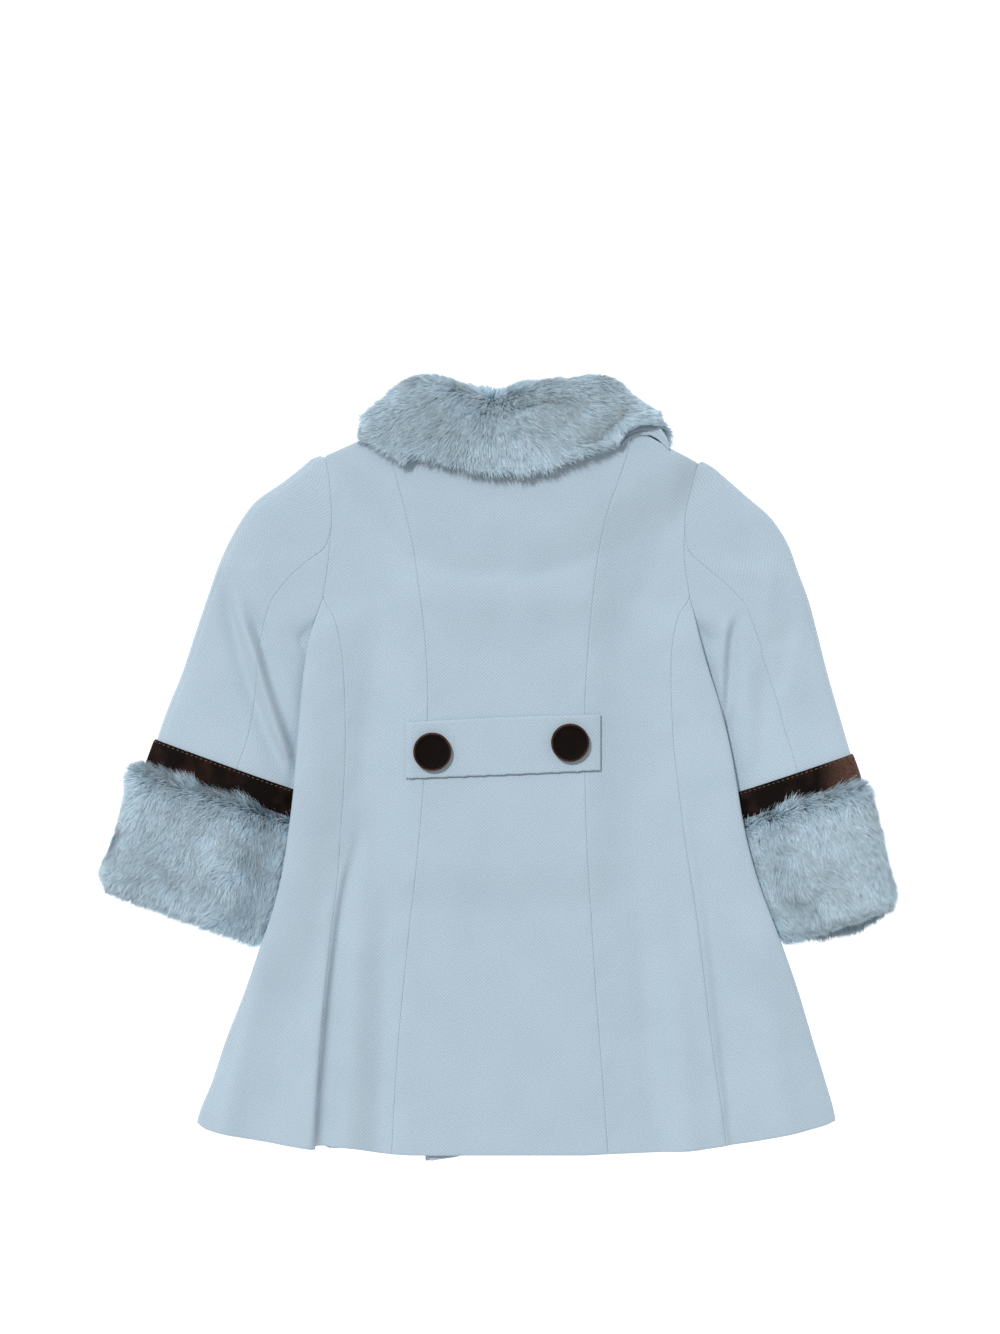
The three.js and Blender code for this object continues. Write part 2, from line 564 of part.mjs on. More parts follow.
function addCuff(side) {
  const wrist = WRISTS[side];
  const sections = cuffRows[side].map((row) => (
    Object.fromEntries(CUFF_COLUMNS.map((name, i) => [name, row[i]]))
  ));
  const place = (section, across, z) => {
    const p = wrist.corner.clone()
      .addScaledVector(wrist.along, section.along)
      .addScaledVector(wrist.inward, across);
    return new THREE.Vector3(p.x, p.y, z);
  };
  const skin = sections.map((section) => {
    const width = section.inner - section.outer;
    const over = CUFF_TOP_SHARES.map((share) => {
      const fromInner = width * share;
      const fromOuter = width - fromInner;
      const wedge = CUFF_WEDGE + (section.height - CUFF_WEDGE) * smooth((fromInner - 5) / 26);
      const body = 4 + (wedge - 4) * rolled(fromInner / 5);
      const z = 7 + (body - 7) * rolled(fromOuter / 15);
      return place(section, section.inner - fromInner, fromInner < width / 2 ? body : z);
    });
    const under = CUFF_BOTTOM_SHARES.map((share) => {
      const fromEdge = width * Math.min(share, 1 - share);
      const z = section.lift + (share > 0.5 ? 7 : 3) * (1 - rolled(fromEdge / 10));
      return place(section, section.inner - width * share, Math.min(z, share > 0.5 ? 6.5 : 3));
    });
    return [...over, ...under];
  });
  const hole = sections.map((section) => {
    const inner = section.inner - CUFF_SLOT.inner;
    const outer = section.outer + CUFF_SLOT.outer;
    const over = CUFF_TOP_SHARES.map((share) => {
      const z = Math.min(CUFF_SLOT.top, CUFF_SLOT.bottom - 4.6 + 7.2 * smooth(share * 4 + 0.25));
      return place(section, inner + (outer - inner) * share, z);
    });
    const under = CUFF_BOTTOM_SHARES.map((share) => {
      const z = Math.min(CUFF_SLOT.bottom, CUFF_SLOT.bottom - 5.4 + 5.4 * smooth(share * 4));
      return place(section, inner + (outer - inner) * share, z);
    });
    return [...over, ...under];
  });
  add(`cuff_${side}`, wall(skin, hole, true), COLOURS.fur, 1);
}

// The collar: its back leaf lies on the back, and its front leaves lie under the fronts
const COLLAR_SHARES = [0, 0.06, 0.2, 0.4, 0.6, 0.8, 0.94, 1];
const ROLL_UNDERSIDE = 10.2;
const COLLAR_SEAT = 0.8;
const COLLAR_CREST = 16.9;
const COLLAR_ROUND = { lower: 14, upper: 18, ends: 16 };
const COLLAR_EDGE = 3;
const LEAF_ROUND = 12;
const LEAF_EDGE_HEIGHT = 2;

function leafGrid(columns, lower, upper, heights) {
  const rows = COLLAR_SHARES.map((share) => columns.map((x) => {
    const y = lower(x) + (upper(x) - lower(x)) * share;
    return { x, y, ...heights(x, y, share) };
  }));
  return [
    rows.map((row) => row.map((p) => new THREE.Vector3(p.x, p.y, p.high))),
    rows.map((row) => row.map((p) => new THREE.Vector3(p.x, p.y, p.low))),
  ];
}

function addCollar() {
  const lower = curve(COLLAR_BACK_ROWS, 0, 1);
  const upper = curve(COLLAR_BACK_ROWS, 0, 2);
  const ends = [COLLAR_BACK_ROWS[0][0], COLLAR_BACK_ROWS.at(-1)[0]];
  const backColumns = COLLAR_BACK_ROWS.map((row) => row[0]);
  const backHeights = (x, y) => {
    const beyond = smooth((y - top(x) - 3) / 14);
    const seat = backTop(x, Math.min(y, top(x) - 1)) + COLLAR_SEAT;
    const low = seat + (ROLL_UNDERSIDE - seat) * beyond;
    const round = Math.min(
      rolled((y - lower(x)) / COLLAR_ROUND.lower),
      rolled((upper(x) - y) / COLLAR_ROUND.upper),
      rolled((x - ends[0]) / COLLAR_ROUND.ends),
      rolled((ends[1] - x) / COLLAR_ROUND.ends),
    );
    const crest = COLLAR_CREST + SEAM + COLLAR_PILE;
    return { low, high: low + COLLAR_EDGE + (crest - low - COLLAR_EDGE) * round };
  };
  add('collar_back', wall(...leafGrid(backColumns, lower, upper, backHeights)), COLOURS.fur, 1);

  const leafHeights = (first, last) => (x, y) => {
    const round = Math.min(
      rolled((y - leafEdge(x)) / LEAF_ROUND),
      rolled((leafTop(x) - y) / LEAF_ROUND),
      rolled((x - first) / LEAF_ROUND),
      rolled((last - x) / LEAF_ROUND),
    );
    const low = COLLAR_EDGE * (1 - round);
    return { low, high: low + LEAF_EDGE_HEIGHT + (FUR_LAID - low - LEAF_EDGE_HEIGHT) * round };
  };
  const leftColumns = [-84.5, -80, -72, -62, -51, -40, -28, -16, -7, -1, 1.6];
  const rightColumns = [2.4, 5, 11, 20, 32, 44, 56, 67, 78, 88, 95, 100, 103.2];
  [['left', leftColumns], ['right', rightColumns]].forEach(([side, columns]) => {
    const heights = leafHeights(columns[0], columns.at(-1));
    add(`collar_front_${side}`, wall(...leafGrid(columns, leafEdge, leafTop, heights)), COLOURS.fur, 1);
  });
}

// The half belt lies across the waist, made from the back's own heights moved out
const BELT_SEAT = SEAM + 0.2;
const beltTop = (x, y) => backTop(x, y) + BELT_SEAT + BELT_THICKNESS;

function addBelt() {
  const topLine = curve(BELT.topRows);
  const bottomLine = curve(BELT.bottomRows);
  const columns = Array.from({ length: 13 }, (_, i) => BELT.left + ((BELT.right - BELT.left) * i) / 12);
  const shares = [0, 0.5, 1];
  const skin = shares.map((share) => columns.map((x) => {
    const y = bottomLine(x) + (topLine(x) - bottomLine(x)) * share;
    return new THREE.Vector3(x, y, beltTop(x, y));
  }));
  const lining = skin.map((row) => row.map((p) => new THREE.Vector3(p.x, p.y, p.z - BELT_THICKNESS)));
  add('half_belt', wall(skin, lining), COLOURS.wool, 0.9);
}

// A covered button: a shallow dome on a flat back, turned about z
function buttonGeometry(height) {
  const rim = height * 0.35;
  const profile = [
    new THREE.Vector2(0, 0),
    new THREE.Vector2(BUTTON_RADIUS - 1.4, 0),
    new THREE.Vector2(BUTTON_RADIUS, rim * 0.6),
    new THREE.Vector2(BUTTON_RADIUS - 0.3, rim + 0.4),
    new THREE.Vector2(BUTTON_RADIUS * 0.8, height * 0.78),
    new THREE.Vector2(BUTTON_RADIUS * 0.5, height * 0.95),
    new THREE.Vector2(0, height),
  ];
  return new THREE.LatheGeometry(profile, 20).rotateX(Math.PI / 2);
}

function addButtons() {
  Object.entries(BELT_BUTTONS).forEach(([side, [x, y]]) => {
    const button = add(`belt_button_${side}`, buttonGeometry(BELT_BUTTON_HEIGHT), COLOURS.velvet, 0.6);
    const reach = BUTTON_RADIUS;
    const around = [[0, 0], [reach, 0], [-reach, 0], [0, reach], [0, -reach]];
    const seat = Math.max(...around.map(([dx, dy]) => beltTop(x + dx, y + dy)));
    button.position.set(x, y, seat + SEAM);
  });
  Object.entries(FRONT_BUTTON_COLUMNS).forEach(([column, x]) => {
    FRONT_BUTTON_ROWS.forEach((y, i) => {
      const name = `front_button_${column}_${i + 1}`;
      const button = add(name, buttonGeometry(FRONT_BUTTON_HEIGHT), COLOURS.velvet, 0.6);
      button.rotation.x = Math.PI;
      button.position.set(x, y, FRONT_BUTTON_HEIGHT);
    });
  });
}

addSleeve('left');
addSleeve('right');
addCuff('left');
addCuff('right');
addCollar();
addBelt();
addButtons();

export default coat;
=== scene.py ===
# %% [markdown]
# # A toddler's wool coat, laid flat
# The coat lies on its fronts, so the camera sees its back: five shaped panels, two-piece sleeves,
# a half belt with two covered buttons, velvet ribbons, and a collar and cuffs of short faux fur.
# Each cell makes one kind of piece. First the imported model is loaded: every piece made below
# stands in for one of its solids and lies exactly where that solid lies.

# %% Load the frame
import math

import bpy
import numpy as np
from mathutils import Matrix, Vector


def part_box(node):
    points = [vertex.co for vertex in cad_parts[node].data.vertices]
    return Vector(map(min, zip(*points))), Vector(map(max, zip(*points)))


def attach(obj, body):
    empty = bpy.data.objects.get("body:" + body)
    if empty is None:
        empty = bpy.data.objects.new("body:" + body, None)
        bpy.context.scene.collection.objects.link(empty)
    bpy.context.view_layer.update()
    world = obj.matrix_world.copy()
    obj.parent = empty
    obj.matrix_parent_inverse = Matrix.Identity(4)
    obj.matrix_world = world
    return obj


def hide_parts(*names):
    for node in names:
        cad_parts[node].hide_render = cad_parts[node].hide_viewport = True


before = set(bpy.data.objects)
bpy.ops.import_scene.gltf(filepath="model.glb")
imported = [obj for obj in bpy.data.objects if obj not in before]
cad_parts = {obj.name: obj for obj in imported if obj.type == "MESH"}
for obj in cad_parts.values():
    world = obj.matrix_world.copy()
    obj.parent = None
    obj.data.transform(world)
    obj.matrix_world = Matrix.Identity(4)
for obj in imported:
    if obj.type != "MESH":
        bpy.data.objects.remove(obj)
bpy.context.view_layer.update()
bpy.ops.object.select_all(action="DESELECT")
print("solids:", len(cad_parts))

# %% [markdown]
# ## The pattern of the coat
# A coat is cut from a paper pattern, and so is this one. The tables give, in millimetres, where each
# seam runs on the lying coat, where hem and shoulders end, and how far the sides are lifted by the
# sleeves beneath them. They are the numbers that the solids were made from, so the cloth fits them.
# `MM` turns them into Blender's metres at the moment a mesh is made. The sizes of the cloth, the
# fur, the ribbons and the buttons come first.

# %% Driving sizes
MM = 0.001
WALL = 2.4
SEAM = 0.3
BACK_GAP = 2.2
LOOSE_GAP = 3.4
EDGE_ROLL = 28
SHOULDER_EASE = 0.3
FUR_LAID = 9.5
COLLAR_PILE = 11
CUFF_HEIGHT = 26
RIBBON_WIDTH = 17
RIBBON_THICKNESS = 1.2
BELT_THICKNESS = 2.2
BUTTON_RADIUS = 11.4
BELT_BUTTON_HEIGHT = 5
FRONT_BUTTON_HEIGHT = 3.3
FRONT_OVERLAP = 2.7
RIGHT_FRONT_EDGE = -45
LEFT_FRONT_EDGE = 48
ARMHOLE_FOOT = 103
UNDERARM = 76
print("cloth:", WALL, "mm thick, cuffs:", CUFF_HEIGHT, "mm high")

# %% [markdown]
# ## Seams
# A tailor marks the cloth with chalk only where a line bends, and the tables hold those marks. The
# seam table has a row for each level y and a column with the x of each seam. Both seams of a side
# meet at the foot of the armhole, where the side panel ends.

# %% Seam table
SEAM_COLUMNS = ["y", "side_left", "outer_left", "inner_left", "inner_right", "outer_right", "side_right"]
SEAM_ROWS = [
    [-236, -186, -111.2, -65.2, 65.2, 137, 204],
    [-212, -182.2, -110.1, -64.1, 63.5, 134.2, 202],
    [-190, -173.7, -108.7, -62.9, 61.9, 130.9, 196.2],
    [-165, -165.4, -107, -61.1, 60, 127.2, 188.5],
    [-135, -153.5, -104.7, -58.3, 57.7, 123.7, 179.3],
    [-110, -144.7, -102.3, -55.8, 56.1, 120.9, 170.4],
    [-90, -137.6, -100.1, -53.7, 54.9, 118.4, 162.9],
    [-65, -131, -97.3, -50.7, 53.2, 114.5, 153.8],
    [-35, -126.4, -95.2, -47.8, 51.7, 110, 146.2],
    [-10, -123.5, -93.6, -45.8, 51.1, 106.9, 142],
    [15, -121.7, -92.7, -44.2, 50.8, 104.2, 137.5],
    [40, -119.6, -93.1, -43.2, 51, 103, 131.2],
    [60, -117.5, -94.1, -43.8, 52.1, 102.6, 124.9],
    [76, -114.9, -96, -44.9, 53.3, 103.7, 120.4],
    [90, -110.5, -99.7, -46.1, 54.5, 107, 117.1],
    [103, -106.3, -106.3, -47.9, 55.9, 114, 114],
    [130, -102.6, -102.6, -51.6, 59.4, 110.7, 110.7],
    [150, -101.2, -101.2, -56, 63.6, 111.4, 111.4],
    [170, -102.4, -102.4, -61, 70.4, 115.7, 115.7],
    [187, -105, -105, -65.2, 76, 119.2, 119.2],
    [212, -108, -108, -71, 83, 122, 122],
]
print("seams:", SEAM_COLUMNS[1:])

# %% [markdown]
# ## Edges
# The other outlines are pairs of x and y: the hem, the shoulders with the neck, the neck of the
# fronts, and the two edges of the collar's front leaves. The lift holds y and how high the sleeve
# beneath holds up the side. The band is where the front's buttons push up the cloth.

# %% Edge tables
HEM_ROWS = [
    [-186, -210.5], [-177, -217.2], [-162, -220.8], [-144, -223.8], [-112, -226.8], [-90, -228.6],
    [-70, -232], [-50, -232.8], [48, -232.8], [65, -232.2], [108, -229.8], [137, -226.2],
    [168, -220.8], [196, -214], [204, -210.5],
]
TOP_ROWS = [
    [-108, 186], [-105, 187.2], [-91.8, 192.4], [-80, 197.5], [-52.2, 208.8], [-35, 204], [3, 198.6],
    [40, 204], [61.8, 211.8], [75, 205.5], [90, 197.6], [102.6, 190.8], [119, 182.6], [122, 181],
]
FRONT_NECK_ROWS = [[-52.2, 208.8], [-45, 190], [-32, 180], [0, 178], [34, 180], [52, 190], [61.8, 211.8]]
LIFT_ROWS = [
    [-236, 0], [-175, 0], [-150, 2.5], [-112, 8.6], [-100, 9.2], [-20, 9.2], [-6, 9.2], [14, 7.4],
    [32, 6.4], [76, 6.2], [85, 4.8], [95, 1.6], [103, 0], [220, 0],
]
LIFT_REACH = 45
LEAF_ROWS = [
    [-130, 262], [-112, 236], [-100, 216], [-85, 199], [-78, 192], [-66, 181], [-50, 167], [-30, 156],
    [-12, 151], [2, 155], [16, 151], [34, 156], [55, 167], [74, 178], [90, 186], [103, 191.5],
    [114, 205], [124, 222], [140, 252],
]
LEAF_TOP_ROWS = [
    [-84.5, 205], [-74, 214.5], [-63, 224], [-52, 231.5], [-40, 232], [-14, 222], [2, 213], [18, 224],
    [40, 231], [58, 232], [70, 227], [82, 218.5], [92.7, 211.8], [99.6, 206.1], [103.2, 196],
]
BUTTON_BAND = {"left": -44, "right": 49, "bottom": -56, "top": 98, "ramp": 34}
LEAF_RAMP = 44
LEAF_OVERHANG = 4
print("hem width:", HEM_ROWS[-1][0] - HEM_ROWS[0][0], "mm")

# %% [markdown]
# ## Curves through the tables
# A dressmaker joins pattern marks with a smooth ruler. `curve` does the same: it runs through the
# marks and never swings past them. `smooth` is a soft step from 0 to 1, and `rolled` is the round
# shoulder that cloth makes where it turns over an edge.

# %% Curves and blends
def smooth(t):
    c = np.clip(t, 0.0, 1.0)
    return c * c * (3 - 2 * c)


def rolled(t):
    c = np.clip(t, 0.0, 1.0)
    return np.sqrt(1 - (1 - c) ** 2)


def curve(rows, key=0, value=1):
    table = np.array(sorted(rows, key=lambda row: row[key]), dtype=float)
    xs, ys = table[:, key], table[:, value]
    slopes = np.diff(ys) / np.diff(xs)
    before = np.concatenate([slopes[:1], slopes])
    after = np.concatenate([slopes, slopes[-1:]])
    total = before + after
    same_way = before * after > 0
    tangents = np.where(same_way, 2 * before * after / np.where(same_way, total, 1), 0)

    def at(x):
        x = np.clip(x, xs[0], xs[-1])
        i = np.clip(np.searchsorted(xs, x, side="left") - 1, 0, len(xs) - 2)
        width = xs[i + 1] - xs[i]
        t = (x - xs[i]) / width
        rise = (3 - 2 * t) * t * t
        out = t * (1 - t) * (1 - t)
        back = t * t * (t - 1)
        bend = width * (tangents[i] * out + tangents[i + 1] * back)
        return ys[i] * (1 - rise) + ys[i + 1] * rise + bend

    return at


seams = {name: curve(SEAM_ROWS, 0, i + 1) for i, name in enumerate(SEAM_COLUMNS[1:])}
princess_left = seams["outer_left"]
princess_right = seams["outer_right"]
seams["outer_left"] = lambda y: np.where(y > ARMHOLE_FOOT, seams["side_left"](y), princess_left(y))
seams["outer_right"] = lambda y: np.where(y > ARMHOLE_FOOT, seams["side_right"](y), princess_right(y))
drawn_hem = curve(HEM_ROWS)
HEM_ROLL, RIGHT_DROP, DROP_FROM = 0.7, 0.9, 60
hem = lambda x: drawn_hem(x) - HEM_ROLL - RIGHT_DROP * smooth((x - DROP_FROM) / DROP_FROM)
top_line = curve(TOP_ROWS)
front_neck = curve(FRONT_NECK_ROWS)
side_lift = curve(LIFT_ROWS)
leaf_edge = curve(LEAF_ROWS)
leaf_top = curve(LEAF_TOP_ROWS)
print("back length at the centre:", float(top_line(3) - hem(3)), "mm")

# %% [markdown]
# ## Folds and creases
# Wool coating is thick, so it falls in broad soft folds. Each row is a line on the coat, from where
# the fold fades out to where it is full, with its height and how far it spreads to either side.
# The deep pleat left of the hem has a steep side, so one of its widths is small. The second table
# holds the slight dents and ridges that only show where light grazes them.

# %% Fold tables
HEM_END = -225
FOLD_GROWTH, FOLD_END, FOLD_FADE = 0.6, 1.3, 0.25
CREASE_GROWTH, CREASE_FADE = 0.25, 0.2
# faint end x and y, full end x and y, height, spread to the left, spread to the right
FOLD_ROWS = [
    [-101, -62, -114, -228, 6.5, 30, 5],
    [-84, -40, -91, -226, 1.8, 10, 10],
    [-66, -80, -72, -230, -1.2, 10, 8],
    [-140, -100, -166, -214, 2.2, 14, 14],
    [88, -60, 90, -228, -1.2, 12, 10],
    [104, -80, 114, -228, 2.4, 12, 16],
    [150, -110, 170, -218, 1.8, 14, 12],
    [-147, 60, -163, 108, -1, 7, 6],
    [-124, -6, -143, 66, 2.2, 6, 9],
    [136, 28, 139, 84, -1, 5, 8],
    [146, 60, 150, 112, 1.6, 14, 14],
    [180, 26, 172, 66, 1.4, 9, 9],
]
# height, spread to the left, spread to the right, marks along the crease
BODY_CREASES = [
    [-2.3, 1.6, 6.0, [(-84, -19.8), (-86.4, -43.8), (-92.4, -67.8), (-96.6, -94.8), (-99.6, -118.8),
                      (-102.6, -142.8), (-105, -169.8), (-107.4, -196.8), (-109.2, -229.8)]],
    [1.4, 7.0, 2.6, [(-92.4, -49.8), (-99.6, -82.8), (-103.8, -115.8), (-106.8, -139.8), (-110.4, -175.8),
                     (-113.4, -229.8)]],
    [-1.3, 8.0, 5.0, [(-67.2, -55.8), (-68.4, -91.8), (-69, -139.8), (-70.8, -187.8), (-73.2, -229.8)]],
    [0.9, 8.0, 8.0, [(-84, -79.8), (-87.6, -139.8), (-92.4, -229.8)]],
    [1.1, 4.5, 7.0, [(-139.2, -97.8), (-145.2, -127.8), (-153, -163.8), (-160.2, -190.8), (-166.8, -229.8)]],
    [-0.6, 6.0, 6.0, [(-128.4, -139.8), (-133.2, -181.8), (-139.2, -229.8)]],
    [-1.4, 2.2, 7.0, [(112.8, -7.8), (117.6, -43.8), (123.6, -79.8), (128.4, -121.8), (133.2, -163.8),
                      (137.4, -205.8), (139.8, -229.8)]],
    [0.7, 6.0, 2.4, [(105.6, -19.8), (112.8, -67.8), (120, -115.8), (125.4, -157.8), (130.8, -199.8),
                     (133.2, -229.8)]],
    [-1.1, 8.0, 7.0, [(80.4, -49.8), (84.6, -103.8), (88.8, -157.8), (94.8, -199.8), (98.4, -229.8)]],
    [0.8, 7.0, 8.0, [(100.8, -115.8), (108, -169.8), (115.2, -229.8)]],
    [0.8, 8.0, 7.0, [(151.2, -79.8), (162, -139.8), (177.6, -229.8)]],
    [0.5, 10.0, 12.0, [(-27, -37.8), (-31.2, -115.8), (-36, -229.8)]],
    [-0.7, 6.0, 7.0, [(-76.8, 70.2), (-80.4, 28.2), (-83.4, -19.8)]],
    [-0.6, 7.0, 6.0, [(84, 76.2), (91.2, 28.2), (96, -19.8)]],
    [-0.6, 7.0, 7.0, [(-88.8, 148.2), (-82.8, 124.2), (-72, 94.2)]],
    [-0.6, 7.0, 7.0, [(98.4, 148.2), (93, 124.2), (84, 94.2)]],
]
print("folds:", len(FOLD_ROWS), "creases:", len(BODY_CREASES))

# %% [markdown]
# ## How a fold rises
# Across its line a fold is a rounded ridge, wide on one side and narrower on the other. Along the
# line it grows out of the flat cloth. A bell curve gives the first and a soft step the second. A
# crease that reaches the hem doesn't fade before it, as a real one runs out over the edge.

# %% Fold heights
def fold_heights(x, y):
    total = np.zeros_like(x)
    for x0, y0, x1, y1, rise, low_side, high_side in FOLD_ROWS:
        t = (y - y0) / (y1 - y0)
        away = x - (x0 + (x1 - x0) * t)
        width = np.where(away < 0, low_side, high_side)
        grown, held = smooth(t / FOLD_GROWTH), smooth((FOLD_END - t) / FOLD_FADE)
        total += rise * grown * held * np.exp(-((away / width) ** 2))
    return total


def crease_heights(x, y, creases):
    total = np.zeros_like(x)
    for rise, low_side, high_side, marks in creases:
        first, last = marks[0][1], marks[-1][1]
        t = (y - first) / (last - first)
        away = x - curve(marks, 1, 0)(y)
        width = np.where(away < 0, low_side, high_side)
        fade = smooth(t / CREASE_GROWTH) * (1.0 if last < HEM_END else smooth((1 - t) / CREASE_FADE))
        total += rise * fade * np.exp(-((away / width) ** 2))
    return total


deepest = fold_heights(np.array([-113.0]), np.array([-225.0]))
print("deep fold at the hem:", round(float(deepest[0]), 1), "mm high")

# %% [markdown]
# ## The lie of the cloth
# The coat is a stack: the right front lies on the table, the left front laps over it, and the back
# lies on both. These functions give the height of each layer. The fronts are pushed up by the
# buttons, by the collar and, at the sides, by the sleeves; the back follows, and rolls down to
# meet the fronts at the side edges.

# %% Heights of the layers
DOUBLED_FROM, DOUBLED_RAMP = 75, 25


def from_side(x, y):
    return np.minimum(x - seams["side_left"](y), seams["side_right"](y) - x)


def front_under(x, y):
    side = side_lift(y) * (1 - smooth(from_side(x, y) / LIFT_REACH))
    band = BUTTON_BAND
    across = smooth((x - band["left"]) / band["ramp"] + 1) * smooth((band["right"] - x) / band["ramp"] + 1)
    down = smooth((y - band["bottom"]) / band["ramp"] + 1) * smooth((band["top"] - y) / band["ramp"] + 1)
    buttons = (FRONT_BUTTON_HEIGHT + SEAM) * across * down
    collar = (FUR_LAID + SEAM) * smooth((y - leaf_edge(x) + LEAF_OVERHANG) / LEAF_RAMP + 1)
    return np.maximum(np.maximum(side, buttons), collar)


def doubled(x):
    """1 where the two fronts lap, 0 where there is one."""
    begun = smooth((x + DOUBLED_FROM) / DOUBLED_RAMP)
    return begun * (1 - smooth((x - LEFT_FRONT_EDGE - 2) / DOUBLED_RAMP))


def back_top(x, y):
    opened = smooth((y - UNDERARM) / (ARMHOLE_FOOT - UNDERARM))
    side_roll = np.maximum(opened, rolled(from_side(x, y) / EDGE_ROLL))
    shoulder_roll = SHOULDER_EASE + (1 - SHOULDER_EASE) * rolled((top_line(x) - y) / EDGE_ROLL)
    roll = np.minimum(side_roll, shoulder_roll)
    gap = BACK_GAP + (LOOSE_GAP - BACK_GAP) * (1 - doubled(x))
    loose = gap + np.maximum(fold_heights(x, y), -gap / 2)
    return front_under(x, y) + WALL * 2 + FRONT_OVERLAP * doubled(x) + SEAM + (loose - SEAM) * roll


print("back at its middle:", round(float(back_top(np.array(0.0), np.array(0.0))), 1), "mm high")

# %% [markdown]
# ## Meshes from arrays
# Cloth could be modelled face by face, but every piece here is a grid or a field of hairs, so arrays
# of points and faces are handed to Blender in one go. The texture's own map, called grain, goes
# with them.

# %% Meshes
def mesh_piece(name, points, faces, uv=None):
    mesh = bpy.data.meshes.new(name)
    sides = faces.shape[1]
    mesh.vertices.add(len(points))
    mesh.vertices.foreach_set("co", (points * MM).astype(np.float32).ravel())
    mesh.loops.add(faces.size)
    mesh.loops.foreach_set("vertex_index", faces.astype(np.int32).ravel())
    mesh.polygons.add(len(faces))
    mesh.polygons.foreach_set("loop_start", np.arange(0, faces.size, sides, dtype=np.int32))
    mesh.polygons.foreach_set("use_smooth", np.ones(len(faces), dtype=bool))
    if uv is not None:
        layer = mesh.uv_layers.new(name="grain")
        layer.data.foreach_set("uv", uv[faces.ravel()].astype(np.float32).ravel())
    mesh.update()
    mesh.validate()
    piece = bpy.data.objects.new(name, mesh)
    bpy.context.collection.objects.link(piece)
    return piece


print("a millimetre is", MM, "of Blender's metres")

# %% [markdown]
# ## Shells
# Coating is about 2.4 mm thick, so each panel is a thin closed shell: a grid of points for the face,
# the same grid one thickness lower for the wrong side, and a rim between them. Near a cut edge the
# shell gets thinner on both sides, which rounds the edge as a pressed seam does. Two rounded edges
# side by side make the narrow groove that the eye reads as a seam. The cloth's own texture follows
# a UV map that is laid on each panel in real metres, along the panel's grain.

# %% Shells
def shell_faces(rows, columns, ring):
    last = columns if ring else columns - 1
    i, j = np.meshgrid(np.arange(rows - 1), np.arange(last), indexing="ij")
    after = (j + 1) % columns
    under = rows * columns
    low, high = i * columns, (i + 1) * columns
    face = np.stack([low + j, low + after, high + after, high + j], -1)
    lining = face[..., ::-1] + under
    j = np.arange(last)
    after = (j + 1) % columns
    foot = np.stack([j, j + under, after + under, after], -1)
    shift = (rows - 1) * columns
    crest = np.stack([j, after, after + under, j + under], -1) + shift
    groups = [face.reshape(-1, 4), lining.reshape(-1, 4), foot, crest]
    if not ring:
        i = np.arange(rows - 1) * columns
        groups.append(np.stack([i, i + columns, i + columns + under, i + under], -1))
        i = i + last
        groups.append(np.stack([i, i + under, i + columns + under, i + columns], -1))
    return np.concatenate(groups)


def shell_piece(name, face, lining, uv, ring=False):
    rows, columns = face.shape[:2]
    points = np.concatenate([face.reshape(-1, 3), lining.reshape(-1, 3)])
    faces = shell_faces(rows, columns, ring)
    a, b, c, d = (points[faces[:, k]] for k in range(4))
    volume = sum(np.einsum("ij,ij->i", a, np.cross(*pair)).sum() for pair in ((b, c), (c, d)))
    if volume < 0:
        faces = faces[:, ::-1]
    uv = np.concatenate([uv.reshape(-1, 2)] * 2) * MM
    return mesh_piece(name, points, faces, uv)


print("faces of a shell with 3 x 3 points on each side:", len(shell_faces(3, 3, False)))

# %% [markdown]
# ## Nodes and colours
# Every finish below is a small tree of shader nodes. One helper adds a node, sets its values and
# makes its links, and one function turns the hex colours that were read from the coat to linear.

# %% Node helpers
def hex_colour(code):
    parts = [int(code[i:i + 2], 16) / 255 for i in (1, 3, 5)]
    return tuple(p / 12.92 if p <= 0.04045 else ((p + 0.055) / 1.055) ** 2.4 for p in parts) + (1.0,)


def add_node(tree, kind, inputs=None, **settings):
    made = tree.nodes.new(kind)
    for key, value in settings.items():
        setattr(made, key, value)
    for key, value in (inputs or {}).items():
        if isinstance(value, bpy.types.NodeSocket):
            tree.links.new(value, made.inputs[key])
        else:
            made.inputs[key].default_value = value
    return made


def new_material(name):
    material = bpy.data.materials.new(name)
    material.use_nodes = True
    material.node_tree.nodes.clear()
    return material, material.node_tree


print("a mid grey:", [round(part, 3) for part in hex_colour("#808080")])

# %% [markdown]
# ## Wool dobby twill
# The cloth is a soft woollen twill whose threads make small diamonds about 2 mm apart. Two crossed
# sine waves along the diagonals of the grain give the diamonds, and a finer noise gives the
# brushed nap. Both drive a bump. The blue varies a little from thread to thread and, over some
# centimetres, with the nap. Sheen gives the pale rim that wool fibres show at grazing angles.

# %% Wool material
DIAMOND = 2.1
NAP = 0.7
THREAD_DRIFT = 3.2
THREAD_RELIEF = 0.09
WEAKER_DIAGONAL = 0.7
CLOUD_TONE = 0.2


